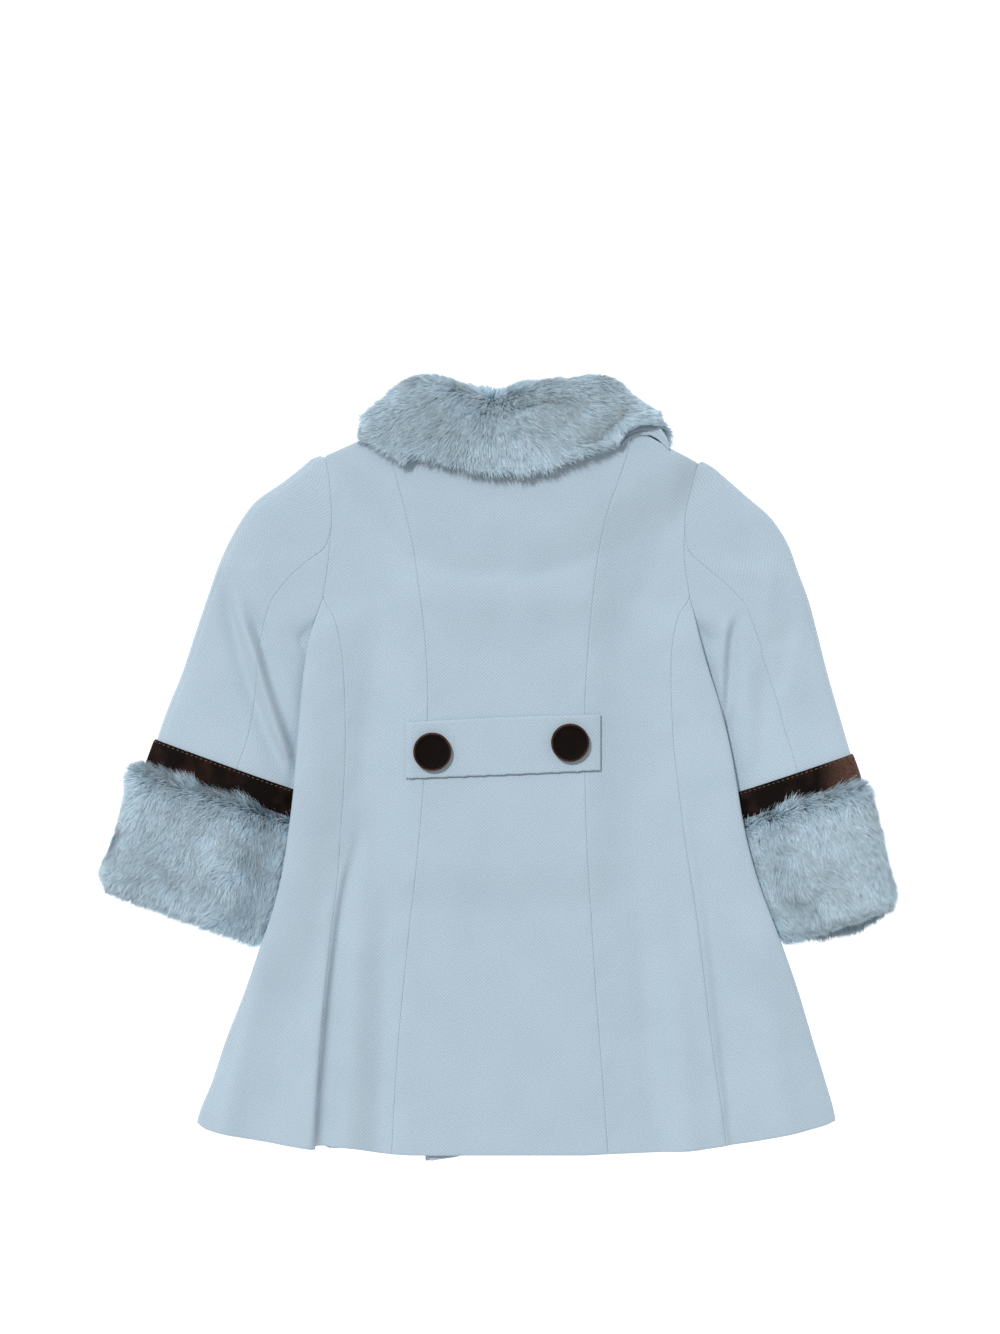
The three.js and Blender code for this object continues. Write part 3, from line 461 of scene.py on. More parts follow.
def wool_twill(name, light, dark):
    material, tree = new_material(name)
    grain = add_node(tree, "ShaderNodeUVMap", uv_map="grain").outputs["UV"]
    scaled = add_node(tree, "ShaderNodeVectorMath", {0: grain}, operation="SCALE")
    scaled.inputs["Scale"].default_value = 2 * math.pi / (DIAMOND * MM)
    drift = add_node(tree, "ShaderNodeTexNoise", {"Vector": grain, "Scale": 260.0, "Detail": 1.0})
    split = add_node(tree, "ShaderNodeSeparateXYZ", {0: scaled.outputs[0]})
    shift = add_node(tree, "ShaderNodeMath", {0: drift.outputs["Fac"], 1: THREAD_DRIFT},
                     operation="MULTIPLY")
    u = add_node(tree, "ShaderNodeMath", {0: split.outputs["X"], 1: shift.outputs[0]}, operation="ADD")
    plus = add_node(tree, "ShaderNodeMath", {0: u.outputs[0], 1: split.outputs["Y"]}, operation="ADD")
    minus = add_node(tree, "ShaderNodeMath", {0: u.outputs[0], 1: split.outputs["Y"]},
                     operation="SUBTRACT")
    first = add_node(tree, "ShaderNodeMath", {0: plus.outputs[0]}, operation="SINE")
    second = add_node(tree, "ShaderNodeMath", {0: minus.outputs[0]}, operation="SINE")
    weaker = add_node(tree, "ShaderNodeMath", {0: second.outputs[0], 1: WEAKER_DIAGONAL},
                      operation="MULTIPLY")
    threads = add_node(tree, "ShaderNodeMath", {0: first.outputs[0], 1: weaker.outputs[0]},
                       operation="ADD")
    nap = add_node(tree, "ShaderNodeTexNoise", {"Vector": grain, "Scale": 1 / (NAP * MM), "Detail": 3.0})
    cloud = add_node(tree, "ShaderNodeTexNoise", {"Vector": grain, "Scale": 30.0, "Detail": 2.0})
    relief = add_node(tree, "ShaderNodeMath", {
        0: threads.outputs[0], 1: THREAD_RELIEF, 2: nap.outputs["Fac"]}, operation="MULTIPLY_ADD")
    tone = add_node(tree, "ShaderNodeMath", {
        0: cloud.outputs["Fac"], 1: CLOUD_TONE, 2: relief.outputs[0]}, operation="MULTIPLY_ADD")
    ramp = add_node(tree, "ShaderNodeMapRange", {
        "Value": tone.outputs[0], "From Min": 0.15, "From Max": 1.05})
    colour = add_node(tree, "ShaderNodeMix", {"Factor": ramp.outputs[0], "A": dark, "B": light},
                      data_type="RGBA")
    bump = add_node(tree, "ShaderNodeBump", {
        "Height": relief.outputs[0], "Strength": 0.6, "Distance": 0.5 * MM})
    shader = add_node(tree, "ShaderNodeBsdfPrincipled", {
        "Base Color": colour.outputs["Result"], "Roughness": 0.92, "Normal": bump.outputs[0],
        "Sheen Weight": 0.3, "Sheen Roughness": 0.6, "IOR": 1.45, "Specular IOR Level": 0.2,
    })
    add_node(tree, "ShaderNodeOutputMaterial", {"Surface": shader.outputs[0]})
    return material


wool = wool_twill("pale_blue_wool_twill", hex_colour("#C2D3DF"), hex_colour("#96AAB9"))
print("wool diamonds:", DIAMOND, "mm")

# %% [markdown]
# ## Velvet
# The ribbons and the covered buttons are dark brown silk velvet. A velvet pile swallows light that
# falls straight in and throws it back at grazing angles, so the base is nearly black and the sheen
# is strong and brown. Crushed pile is paler. Where the right ribbon turns over the sleeve's outer
# fold the tree mixes in a third, pale brown colour: a painted sheen. The rims of the buttons get a
# material of their own, paler still, whose colour is a painted sheen too.

# %% Velvet material
SHEEN_FROM, SHEEN_TO = 190, 213


def silk_velvet(name, pressed, crushed, fold_sheen_colour):
    material, tree = new_material(name)
    place = add_node(tree, "ShaderNodeTexCoord").outputs["Object"]
    pile = add_node(tree, "ShaderNodeTexNoise", {"Vector": place, "Scale": 900.0, "Detail": 2.0})
    crush = add_node(tree, "ShaderNodeTexNoise", {"Vector": place, "Scale": 90.0, "Detail": 2.0})
    ramp = add_node(tree, "ShaderNodeMapRange", {
        "Value": crush.outputs["Fac"], "From Min": 0.45, "From Max": 0.8})
    colour = add_node(tree, "ShaderNodeMix", {"Factor": ramp.outputs[0], "A": pressed, "B": crushed},
                      data_type="RGBA")
    sideways = add_node(tree, "ShaderNodeSeparateXYZ", {0: place}).outputs["X"]
    # Towards the right ribbon's outer end, where it turns over the sleeve's fold, a pale brown is mixed in,
    # speckled by the pile: painted sheen.
    at_fold = add_node(tree, "ShaderNodeMapRange", {
        "Value": sideways, "From Min": SHEEN_FROM * MM, "From Max": SHEEN_TO * MM})
    speckle = add_node(tree, "ShaderNodeMath", {0: at_fold.outputs[0], 1: pile.outputs["Fac"]},
                       operation="MULTIPLY")
    with_painted_sheen = add_node(tree, "ShaderNodeMix", {
        "Factor": speckle.outputs[0], "A": colour.outputs["Result"], "B": fold_sheen_colour}, data_type="RGBA")
    bump = add_node(tree, "ShaderNodeBump", {
        "Height": pile.outputs["Fac"], "Strength": 0.4, "Distance": 0.3 * MM})
    shader = add_node(tree, "ShaderNodeBsdfPrincipled", {
        "Base Color": with_painted_sheen.outputs["Result"], "Roughness": 0.7, "Normal": bump.outputs[0],
        "Sheen Weight": 0.8, "Sheen Roughness": 0.13, "Sheen Tint": hex_colour("#B8795A"),
        "IOR": 1.45, "Specular IOR Level": 0.1,
    })
    add_node(tree, "ShaderNodeOutputMaterial", {"Surface": shader.outputs[0]})
    return material


# The pale brown of the painted sheen.
fold_sheen_colour = hex_colour("#7A5A4E")
velvet = silk_velvet("brown_silk_velvet", hex_colour("#0B0604"), hex_colour("#291812"), fold_sheen_colour)
button_velvet = silk_velvet("button_velvet", hex_colour("#0C0503"), hex_colour("#140A06"), fold_sheen_colour)
# The paler velvet of the button rims is a painted sheen.
rim_sheen_velvet = silk_velvet(
    "painted_sheen_velvet_of_button_rims", hex_colour("#3A231A"), hex_colour("#5E4236"), fold_sheen_colour)
print("velvets:", velvet.name, button_velvet.name, rim_sheen_velvet.name)

# %% [markdown]
# ## Faux fur
# The fur is an acrylic pile about 10 mm deep on a knitted backing. Its hairs are blue-grey, dark at
# the root, where little light gets in, and pale at the tip. The hairs' own UV map holds a random
# tone across and the way from root to tip along, so one material serves them all. The backing
# under them has only the dark root colour, broken up as dense wool is.

# %% Fur materials
def fur_hair(name, root, middle, tip):
    material, tree = new_material(name)
    strand = add_node(tree, "ShaderNodeUVMap", uv_map="grain").outputs["UV"]
    split = add_node(tree, "ShaderNodeSeparateXYZ", {0: strand})
    ramp = add_node(tree, "ShaderNodeValToRGB", {0: split.outputs["Y"]})
    ramp.color_ramp.elements[0].color = root
    ramp.color_ramp.elements[1].color = tip
    centre = ramp.color_ramp.elements.new(0.5)
    centre.color = middle
    tone = add_node(tree, "ShaderNodeMapRange", {
        "Value": split.outputs["X"], "To Min": 0.72, "To Max": 1.26})
    colour = add_node(tree, "ShaderNodeVectorMath", {
        0: ramp.outputs[0], 3: tone.outputs[0]}, operation="SCALE")
    shader = add_node(tree, "ShaderNodeBsdfPrincipled", {
        "Base Color": colour.outputs[0], "Roughness": 0.62, "Sheen Weight": 0.3, "Sheen Roughness": 0.4,
        "IOR": 1.5, "Specular IOR Level": 0.35,
    })
    add_node(tree, "ShaderNodeOutputMaterial", {"Surface": shader.outputs[0]})
    return material


def fur_backing(name, dark, light):
    material, tree = new_material(name)
    place = add_node(tree, "ShaderNodeTexCoord").outputs["Object"]
    tufts = add_node(tree, "ShaderNodeTexNoise", {"Vector": place, "Scale": 380.0, "Detail": 3.0})
    bump = add_node(tree, "ShaderNodeBump", {
        "Height": tufts.outputs["Fac"], "Strength": 0.8, "Distance": 1 * MM})
    colour = add_node(tree, "ShaderNodeMix", {"Factor": tufts.outputs["Fac"], "A": dark, "B": light},
                      data_type="RGBA")
    shader = add_node(tree, "ShaderNodeBsdfPrincipled", {
        "Base Color": colour.outputs["Result"], "Roughness": 0.95, "Normal": bump.outputs[0],
        "IOR": 1.5, "Specular IOR Level": 0.1,
    })
    add_node(tree, "ShaderNodeOutputMaterial", {"Surface": shader.outputs[0]})
    return material


hair = fur_hair("blue_grey_fur_hair", hex_colour("#4C7690"), hex_colour("#A7C2D1"), hex_colour("#D6E4EB"))
backing = fur_backing("fur_backing", hex_colour("#5F7889"), hex_colour("#8AA2B1"))
print("fur:", hair.name, "on", backing.name)

# %% [markdown]
# ## Dressing a piece
# A finished piece rides on the coat's one body, stands for its solid and takes its finish. As cloth,
# it prints the size that it was cut to: the width and length of its rectangle of cloth, and the area
# inside its outline, which is half of the closed shell's surface, or the rectangle's if that is less.

# %% Finish a piece
def half_surface(piece):
    return sum(polygon.area for polygon in piece.data.polygons) / 2


def dress(piece, material, node=None):
    piece.data.materials.append(material)
    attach(piece, "root")
    if node:
        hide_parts(node)


def declare_cloth(piece, width, length):
    area = min(half_surface(piece), width * length * MM * MM)
    print(piece.name, "cut from", round(width), "x", round(length), "mm, area", round(area * 1e6), "mm2")


# %% [markdown]
# ## The grid of a panel
# A panel runs between two seams from the hem to the neck or shoulder. Its grid is finer beside the
# seams, where the edge turns down, than in the middle: `EDGE_STEPS` are the distances of the first
# lines from an edge. Levels go from 0 at the hem through 1 at the armhole's foot to 2 at the top.
# Where a seam lies depends on y, and where the hem lies on x, so the two are found in turn.

# %% Panel grids
EDGE_STEPS = [0, 0.15, 0.4, 0.7, 1.1, 1.7, 2.5, 3.6, 5]
CLOSED_SEAM = 0.02
LOWER_LENGTH, UPPER_LENGTH = 335, 95
HEM_GUESS, LEVEL_GUESS, ROUNDS = -220, 320, 8


def shares_across(width, spacing):
    ends = np.array(EDGE_STEPS) / width
    count = max(2, int(round((width - 2 * EDGE_STEPS[-1]) / spacing)))
    middle = np.linspace(ends[-1], 1 - ends[-1], count + 1)[1:-1]
    return np.concatenate([ends, middle, 1 - ends[::-1]])


def levels_up(spacing, upper=True):
    edge = np.array(EDGE_STEPS[:-1])
    low = np.linspace(0, 1, int(LOWER_LENGTH / spacing) + 1)
    low = np.unique(np.concatenate([edge / LOWER_LENGTH, low]))
    high = 1 + np.linspace(0, 1, int(UPPER_LENGTH / spacing) + 1)[1:]
    high = np.unique(np.concatenate([high, 2 - edge / UPPER_LENGTH]))
    return np.concatenate([low, high]) if upper else low


def panel_places(columns_at, levels, bottom, crest):
    columns = columns_at(np.zeros((1, 1))).shape[1]
    y = np.repeat((HEM_GUESS + LEVEL_GUESS * levels)[:, None], columns, axis=1)
    for _ in range(ROUNDS):
        x = columns_at(y)
        foot = bottom(x)
        head = crest(x)
        share = levels[:, None]
        lower = foot + (ARMHOLE_FOOT - foot) * share
        upper = ARMHOLE_FOOT + (head - ARMHOLE_FOOT) * (share - 1)
        y = np.where(share <= 1, lower, upper)
    return x, y


def between(low, high, shares):
    """The columns of a panel from one seam to the other, less half a closed seam at each."""
    def columns_at(y):
        width = np.maximum(high(y) - low(y) - CLOSED_SEAM, CLOSED_SEAM)
        return (low(y) + CLOSED_SEAM / 2) + width * shares[None, :]

    return columns_at


print("levels from hem to top, 3 mm apart:", len(levels_up(3.0)))

# %% [markdown]
# ## The thickness of a panel
# Thick cloth is pressed flat along a seam and still flatter at a free edge, so the shell gets
# thinner there, on both of its sides. A faint ripple follows each seam, as sewing draws the cloth
# in. The UV map is turned a few degrees, because the outer panels are cut at a slant.

# %% Panel shells
SEAM_ROUND, SEAM_THIN = 1.1, 0.72
FREE_ROUND, FREE_THIN = 1.5, 0.45
RIPPLE_HEIGHT, RIPPLE_AT, RIPPLE_SPREAD = 0.16, 3, 3.5


def edge_round(distance, free):
    """Share of the full thickness at a distance from a free edge or from a seam."""
    wide, thin = (FREE_ROUND, FREE_THIN) if free else (SEAM_ROUND, SEAM_THIN)
    return thin + (1 - thin) * rolled(distance / wide)


def edge_thickness(x, y, free_left=False, free_right=False):
    """Thickness of the shell from how near each point lies to the border of its own grid."""
    across = np.hypot(np.diff(x, axis=1), np.diff(y, axis=1))
    left = np.concatenate([np.zeros((len(x), 1)), np.cumsum(across, axis=1)], axis=1)
    right = left[:, -1:] - left
    along = np.hypot(np.diff(x, axis=0), np.diff(y, axis=0))
    low = np.concatenate([np.zeros((1, x.shape[1])), np.cumsum(along, axis=0)], axis=0)
    high = low[-1:, :] - low
    sides = np.minimum(edge_round(left, free_left), edge_round(right, free_right))
    return WALL * np.minimum(sides, edge_round(np.minimum(low, high), True)), np.minimum(left, right)


def seam_ripple(y, near, phase):
    wave = np.sin(y / 5.3 + phase) + 0.7 * np.sin(y / 3.1 + 2.2 * phase)
    return RIPPLE_HEIGHT * wave * np.exp(-((near - RIPPLE_AT) / RIPPLE_SPREAD) ** 2)


def panel_piece(name, columns_at, levels, bottom, crest, surface, turn=0.0, phase=0.0,
                free=(False, False)):
    x, y = panel_places(columns_at, levels, bottom, crest)
    thickness, near = edge_thickness(x, y, *free)
    middle = surface(x, y) - WALL / 2 + seam_ripple(y, near, phase)
    face = np.stack([x, y, middle + thickness / 2], -1)
    lining = np.stack([x, y, np.maximum(middle - thickness / 2, 0)], -1)
    cos, sin = math.cos(math.radians(turn)), math.sin(math.radians(turn))
    uv = np.stack([x * cos + y * sin, y * cos - x * sin], -1)
    return shell_piece(name, face, lining, uv)


print("thickness at a seam:", round(float(WALL * edge_round(0.0, False)), 2), "mm")

# %% [markdown]
# ## The surface of the back
# The back drapes over the collar's front leaves more gently than the fronts beneath it do, as cloth
# spans a hollow instead of filling it. `collar_ease` adds the difference and the creases come on
# top.

# %% Surface of the back
def collar_ease(x, y):
    reach = y - leaf_edge(x) + LEAF_OVERHANG
    steep = smooth(reach / LEAF_RAMP + 1)
    gentle = smooth(reach / (2.4 * LEAF_RAMP) + 1)
    return (FUR_LAID + SEAM) * (gentle - steep) * smooth((y - 60) / 40)


def back_lie(x, y):
    near_side = smooth(from_side(x, y) / 60)
    return back_top(x, y) + np.maximum(collar_ease(x, y), 0) * near_side * 0.7


def back_surface(x, y):
    return back_lie(x, y) + crease_heights(x, y, BODY_CREASES)


eased = collar_ease(np.array(0.0), np.array(140.0))
print("back eased over the collar by", round(float(eased), 1), "mm")

# %% [markdown]
# ## The panels of the back
# One sheet with lines drawn on it would look flat, because real seams catch the light, so each of
# the five panels is a shell of its own. The side panels end at the foot of the armhole, and the
# left one is longer beside the deep fold.

# %% Back panels
def left_side_hem(x):
    return hem(x) - 1.8 * smooth((x + 150) / 39)


BACK_SPACING = 3.0
COLUMN_SPACING = 2.3
# name, left seam, right seam, usual width, turn of the grain, width and length of the cut
BACK_PANELS = [
    ["centre_back", "inner_left", "inner_right", 118, 0.0, 149, 442],
    ["side_back_left", "outer_left", "inner_left", 48, -4.0, 68, 436],
    ["side_back_right", "inner_right", "outer_right", 58, 4.0, 86, 436],
]
back_levels = levels_up(BACK_SPACING)
side_levels = levels_up(BACK_SPACING, upper=False)
side_levels = np.append(side_levels[side_levels < 0.98], [0.985, 0.99, 0.995, 0.999])
for i, (name, low, high, width, turn, cut_width, cut_length) in enumerate(BACK_PANELS):
    columns_at = between(seams[low], seams[high], shares_across(width, COLUMN_SPACING))
    piece = panel_piece(name + "_cloth", columns_at, back_levels, hem, top_line, back_surface, turn,
                        i * 1.7)
    dress(piece, wool, name)
    declare_cloth(piece, cut_width, cut_length)

SIDE_PANELS = [
    ["side_panel_left", "side_left", "outer_left", -12.0, 92, 330],
    ["side_panel_right", "outer_right", "side_right", 12.0, 100, 330],
]
for i, (name, low, high, turn, cut_width, cut_length) in enumerate(SIDE_PANELS):
    columns_at = between(seams[low], seams[high], shares_across(45, COLUMN_SPACING))
    free = (low == "side_left", high == "side_right")
    lower = left_side_hem if low == "side_left" else hem
    piece = panel_piece(name + "_cloth", columns_at, side_levels, lower, top_line, back_surface, turn,
                        5 + i * 2.3, free)
    dress(piece, wool, name)
    declare_cloth(piece, cut_width, cut_length)

# %% [markdown]
# ## The fronts
# The fronts lie underneath and show only a corner at the hem, but the coat can be looked at from
# below. They are made as the back is, with coarser grids. The right front is the outer one.

# %% Fronts
# x and how far below the rest of the front's hem the corner hangs
FRONT_CORNER = [[-50, 0], [-48.2, 1.2], [-44.5, 6.7], [-37, 5.6], [-30, 4.6], [-22, 3.2], [-14, 0]]
FRONT_SHORTER, STRIP_LONGER = 2.5, 4.2


def front_hem(x):
    corner = curve(FRONT_CORNER)(x)
    strip = smooth((x + 112) / 5) * smooth((-86 - x) / 12)
    return hem(x) + FRONT_SHORTER - corner - STRIP_LONGER * strip


def front_crest(x):
    at_neck = (x > FRONT_NECK_ROWS[0][0]) & (x < FRONT_NECK_ROWS[-1][0])
    return np.where(at_neck, front_neck(x), top_line(x))


FRONT_SPACING = 6.0
front_levels = levels_up(FRONT_SPACING)
front_shares = shares_across(200, FRONT_SPACING)
left_edge = lambda y: np.full_like(y, LEFT_FRONT_EDGE)
right_edge = lambda y: np.full_like(y, RIGHT_FRONT_EDGE)
left_columns = between(seams["side_left"], left_edge, front_shares)
right_columns = between(right_edge, seams["side_right"], front_shares)
front_left = panel_piece(
    "front_left_cloth", left_columns, front_levels, front_hem, front_crest,
    lambda x, y: front_under(x, y) + FRONT_OVERLAP * smooth((x + DOUBLED_FROM) / DOUBLED_RAMP) + WALL,
    -4.0, 0.4)
dress(front_left, wool, "front_left")
declare_cloth(front_left, 232, 446)
front_right = panel_piece(
    "front_right_cloth", right_columns, front_levels, front_hem, front_crest,
    lambda x, y: front_under(x, y) + WALL, 4.0, 2.4)
dress(front_right, wool, "front_right")
declare_cloth(front_right, 248, 444)

# %% [markdown]
# ## The marks of the sleeves
# Each sleeve has two pieces. The top sleeve turns round the outer fold to the underside, and the
# under sleeve fills in between the elbow seam and the inner edge. The tables say where each cross
# section starts and ends. The first sections end at the armhole, the later ones go under the
# body's side, and the last three lie under the ribbon.

# %% Sleeve tables
# y and x along the outer fold
OUTER_EDGES = {
    "left": [
        [16.8, -206.1], [34.2, -200.4], [55.2, -192], [78, -184.5], [100.2, -177], [121.2, -169.8],
        [138, -162], [151.2, -154.8], [160.2, -147], [172.2, -130], [182.7, -117], [185.4, -114],
        [187.4, -108.5],
    ],
    "right": [
        [8, 210.6], [34.2, 203.4], [58.2, 196.8], [82.2, 190.8], [106.2, 184.2], [118.2, 179.4],
        [130.2, 175.2], [142.2, 169.8], [154.2, 159], [166.2, 144.6], [179, 130.2], [183.4, 123.4],
        [184.2, 121.2],
    ],
}
# inner y, outer y, elbow seam from the inner edge, tuck under the body, raise of the underside
STATIONS = {
    "left": [
        [186.2, 187.3, 0, 0, 0], [182, 185.4, 0, 0, 0], [176, 183, 0, 0, 0], [163, 179, 0, 0, 0],
        [148, 171, 0, 0, 0], [133, 159.2, 2, 0, 0], [116, 140.4, 15, 0, 0], [103, 124, 24.5, 0, 0],
        [90, 106, 29, 0, 0], [76, 89, 29, 0, 0], [65, 79, 33.4, 5, 0], [49, 66, 33.2, 5, 0.4],
        [33, 53, 33.3, 5, 1.2], [17, 40, 34.2, 5, 2.6], [2, 28, 36.3, 4.5, 4.4],
    ],
    "right": [
        [182.2, 183.9, 0, 0, 0], [178.5, 181, 0, 0, 0], [172.5, 178.5, 0, 0, 0],
        [160, 172.5, 0, 0, 0], [146, 162.5, 0, 0, 0], [131.5, 150, 2, 0, 0],
        [115.4, 133, 13.5, 0, 0], [103, 118, 24, 0, 0], [90, 101, 32, 0, 0],
        [76, 83, 34.2, 0, 0], [65, 72, 39.3, 5, 0], [49, 58, 39.1, 5, 0.4], [33, 44, 39, 5, 1.2],
        [17, 32, 39, 5, 2.6], [2, 20, 40.2, 4.5, 4.4],
    ],
}
# outer corner, direction down the sleeve, direction inwards, widths, elbow seam from the inner edge
WRISTS = {
    "left": {"corner": (-206.1, 16.8), "along": (-0.342, -0.94), "inward": (0.94, -0.342),
             "reach": [90.5, 93, 95.2], "elbow": [38.5, 38.5, 38.5]},
    "right": {"corner": (210.6, 8.04), "along": (0.3192, -0.9477), "inward": (-0.9477, -0.3192),
              "reach": [75.2, 77, 78.6], "elbow": [41, 41.5, 42]},
}
# distances down the sleeve of the last sections
WRIST_STEPS = [0, 8.5, RIBBON_WIDTH]
SIGNS = {"left": -1, "right": 1}
print("sections of a sleeve:", len(STATIONS["left"]) + len(WRIST_STEPS))

# %% [markdown]
# ## Cross sections of a sleeve
# A pressed sleeve could be a flat tube of one height, but it is thick in the middle and thin at both
# edges, and its underside rises towards the wrist, where it goes into the middle of the cuff. So
# every row of the table becomes nine numbers, and a smooth curve through each gives as many
# sections as the mesh needs.

# %% Sleeve sections
FOLD_RADIUS = 3
SLEEVE_HEIGHT = 8.2
FLAT_EDGE = 6
EDGE_SHARE = 0.25
WRIST_RAISE, WRIST_EDGE_RAISE = 6.3, 1.6
# numbers of the sections where parts of the sleeve begin or end
TIP_START, ELBOW_START, LAST_AT_ARMHOLE, WRIST_START, WRIST_END = -1, 3.02, 8, 14, 16


def sleeve_table(side):
    """One row a station: inner x, y, outer x, y, elbow, raise, edge raise, edge height, flat."""
    sign = SIGNS[side]
    edge_at = seams["side_" + side]
    outer_at = curve(OUTER_EDGES[side])
    rows = []
    for inner_y, outer_y, elbow, tuck, lift in STATIONS[side]:
        edge = float(edge_at(np.array(float(inner_y))))
        x = edge + sign * (-tuck if tuck > 0 else CLOSED_SEAM)
        at_armhole = inner_y > UNDERARM + 1
        height = float(back_top(np.array(edge - sign * SEAM), np.array(float(inner_y))))
        sinking = smooth((ARMHOLE_FOOT - inner_y) / (ARMHOLE_FOOT - UNDERARM))
        height += (2 * WALL + SEAM - height) * float(sinking)
        rows.append([x, inner_y, float(outer_at(outer_y)), outer_y, elbow, lift, EDGE_SHARE * lift,
                     height if at_armhole else 2 * WALL + SEAM, 0 if at_armhole else FLAT_EDGE])
    wrist = WRISTS[side]
    corner, along, inward = (np.array(wrist[key]) for key in ("corner", "along", "inward"))
    for step, reach, elbow in zip(WRIST_STEPS, wrist["reach"], wrist["elbow"]):
        outer = corner + along * step
        inner = outer + inward * reach
        rows.append([*inner, *outer, elbow, WRIST_RAISE, WRIST_EDGE_RAISE, 2 * WALL + SEAM, FLAT_EDGE])
    return rows


def sleeve_sections(side, at):
    rows = [[i + TIP_START, *row] for i, row in enumerate(sleeve_table(side))]
    values = np.stack([curve(rows, 0, k)(at) for k in range(1, 10)], -1)
    sign = SIGNS[side]
    on_armhole = at <= LAST_AT_ARMHOLE
    values[on_armhole, 0] = seams["side_" + side](values[on_armhole, 1]) + sign * CLOSED_SEAM
    inner, outer = values[:, 0:2], values[:, 2:4]
    width = np.hypot(*(inner - outer).T)
    keys = ["elbow", "lift", "edge_lift", "edge_height", "flat"]
    sections = dict(zip(keys, values[:, 4:].T))
    sections.update(inner=inner, outer=outer, width=width, inward=(inner - outer) / width[:, None])
    return sections


for side in SIGNS:
    wrist = sleeve_sections(side, np.array([float(WRIST_START)]))
    print(side, "sleeve at the ribbon:", round(float(wrist["width"][0]), 1), "mm wide")

# %% [markdown]
# ## The skin of a sleeve
# A place on the skin is given by its kind (over the top, round the fold, underneath) and by how far
# it lies from the outer fold. `offset` moves it straight out of the skin. With it the same function
# gives the outside of the cloth, its inside, the ribbon and the stitches.

# %% Sleeve skin
EDGE_FALL, RISE_LENGTH, CREASE_START = 22, 36, 14


def sleeve_thickness(sections, from_outer):
    from_inner = sections["width"][:, None] - from_outer
    outer_share = rolled((from_outer - FOLD_RADIUS) / EDGE_FALL)
    outer_drop = (SLEEVE_HEIGHT - 2 * FOLD_RADIUS) * (1 - outer_share)
    edge = sections["edge_height"][:, None]
    inner_share = rolled((from_inner - sections["flat"][:, None]) / EDGE_FALL)
    inner_drop = (SLEEVE_HEIGHT - edge) * (1 - inner_share)
    return np.maximum(2 * WALL + SEAM, SLEEVE_HEIGHT - outer_drop - inner_drop)


def sleeve_underside(sections, from_outer):
    from_inner = sections["width"][:, None] - from_outer
    low = sections["edge_lift"][:, None]
    return low + (sections["lift"][:, None] - low) * smooth(from_inner / RISE_LENGTH)


def sleeve_grid(sections, kind, from_outer, angle, offset):
    """Points of the sleeve's skin, moved out by offset. All arguments are section by column."""
    base = sleeve_underside(sections, from_outer)
    half = sleeve_thickness(sections, np.full_like(from_outer, FOLD_RADIUS)) / 2
    z = base - offset
    is_fold = kind == 1
    is_top = kind == 0
    out = np.where(is_fold, FOLD_RADIUS - (FOLD_RADIUS + offset) * np.cos(angle), from_outer)
    z = np.where(is_fold, base + half + (half + offset) * np.sin(angle), z)
    xy = sections["outer"][:, None, :] + sections["inward"][:, None, :] * out[..., None]
    top = base + sleeve_thickness(sections, from_outer) + fold_heights(xy[..., 0], xy[..., 1])
    fade = rolled(from_outer / CREASE_START)
    top = top + crease_heights(xy[..., 0], xy[..., 1], SLEEVE_CREASES) * fade
    z = np.where(is_top, top + offset, z)
    return np.stack([xy[..., 0], xy[..., 1], z], -1)


print("a pressed sleeve is", SLEEVE_HEIGHT, "mm thick in its middle")

# %% [markdown]
# ## Creases of the sleeves
# Where the arm bends the cloth keeps sharp short creases. Each is a line of its own, as the folds
# of the body are, and narrower.

# %% Sleeve creases
# height, spread to the left, spread to the right, marks along the crease
SLEEVE_CREASES = [
    [-3.0, 6.0, 2.6, [(-166.8, 117), (-162, 93), (-156, 67.2), (-148.8, 44.4), (-142.8, 27), (-135, 9),
                      (-127.2, -9)]],
    [4.6, 2.8, 2.3, [(-160.8, 109.2), (-152.4, 82.2), (-145.8, 63), (-140.4, 43.8), (-133.8, 24),
                     (-128.4, 8.4), (-123.6, -9)]],
    [-4.2, 2.0, 6.0, [(-156, 105), (-147.6, 87), (-142.2, 69), (-136.8, 49.2), (-130.8, 31.2),
                      (-124.8, 12), (-120, -6.6)]],
    [0.6, 5.0, 6.0, [(-148.8, 127.2), (-146.4, 112.2), (-142.8, 94.2)]],
    [-3.1, 2.0, 4.0, [(148.8, 95.4), (142.8, 89.4), (139.2, 75), (138, 52.2), (136.2, 29.4), (135, 14)]],
    [2.0, 3.2, 2.6, [(140.4, 97.8), (135.6, 82.2), (133.8, 64.2), (132, 40.2), (130.8, 24)]],
    [-1.5, 7.0, 6.0, [(159.6, 70.2), (158.4, 40.2), (157.8, 16.2), (157.2, -9)]],
    [0.9, 5.0, 6.0, [(150, 76.2), (148.8, 40.2), (148.2, -9)]],
    [-1.1, 6.0, 5.0, [(175.2, 94.2), (171.6, 67.2), (166.2, 40.2)]],
    [0.7, 5.0, 5.0, [(164.4, 131.4), (162, 100.2), (160.2, 71.4)]],
    [-0.7, 3.5, 6.0, [(120, 91.2), (124.2, 70.2), (126.6, 49.2)]],
    [-0.6, 8.0, 8.0, [(147, 148.2), (151.2, 124.2), (156, 100.2)]],
]
print("creases of the sleeves:", len(SLEEVE_CREASES))

# %% [markdown]
# ## The way round a sleeve
# The way round a section is a list of places: over the top, round the fold and back underneath.
# The same places, moved out a little, carry the ribbon, so it can't cut into the sleeve. They lie
# close together at the seam and at the inner edge, where the skin bends most.

# %% Way round a sleeve
SLEEVE_SPACING = 1.5
FOLD_TURNS = [72, 54, 36, 18, 0, -18, -36, -54, -72]


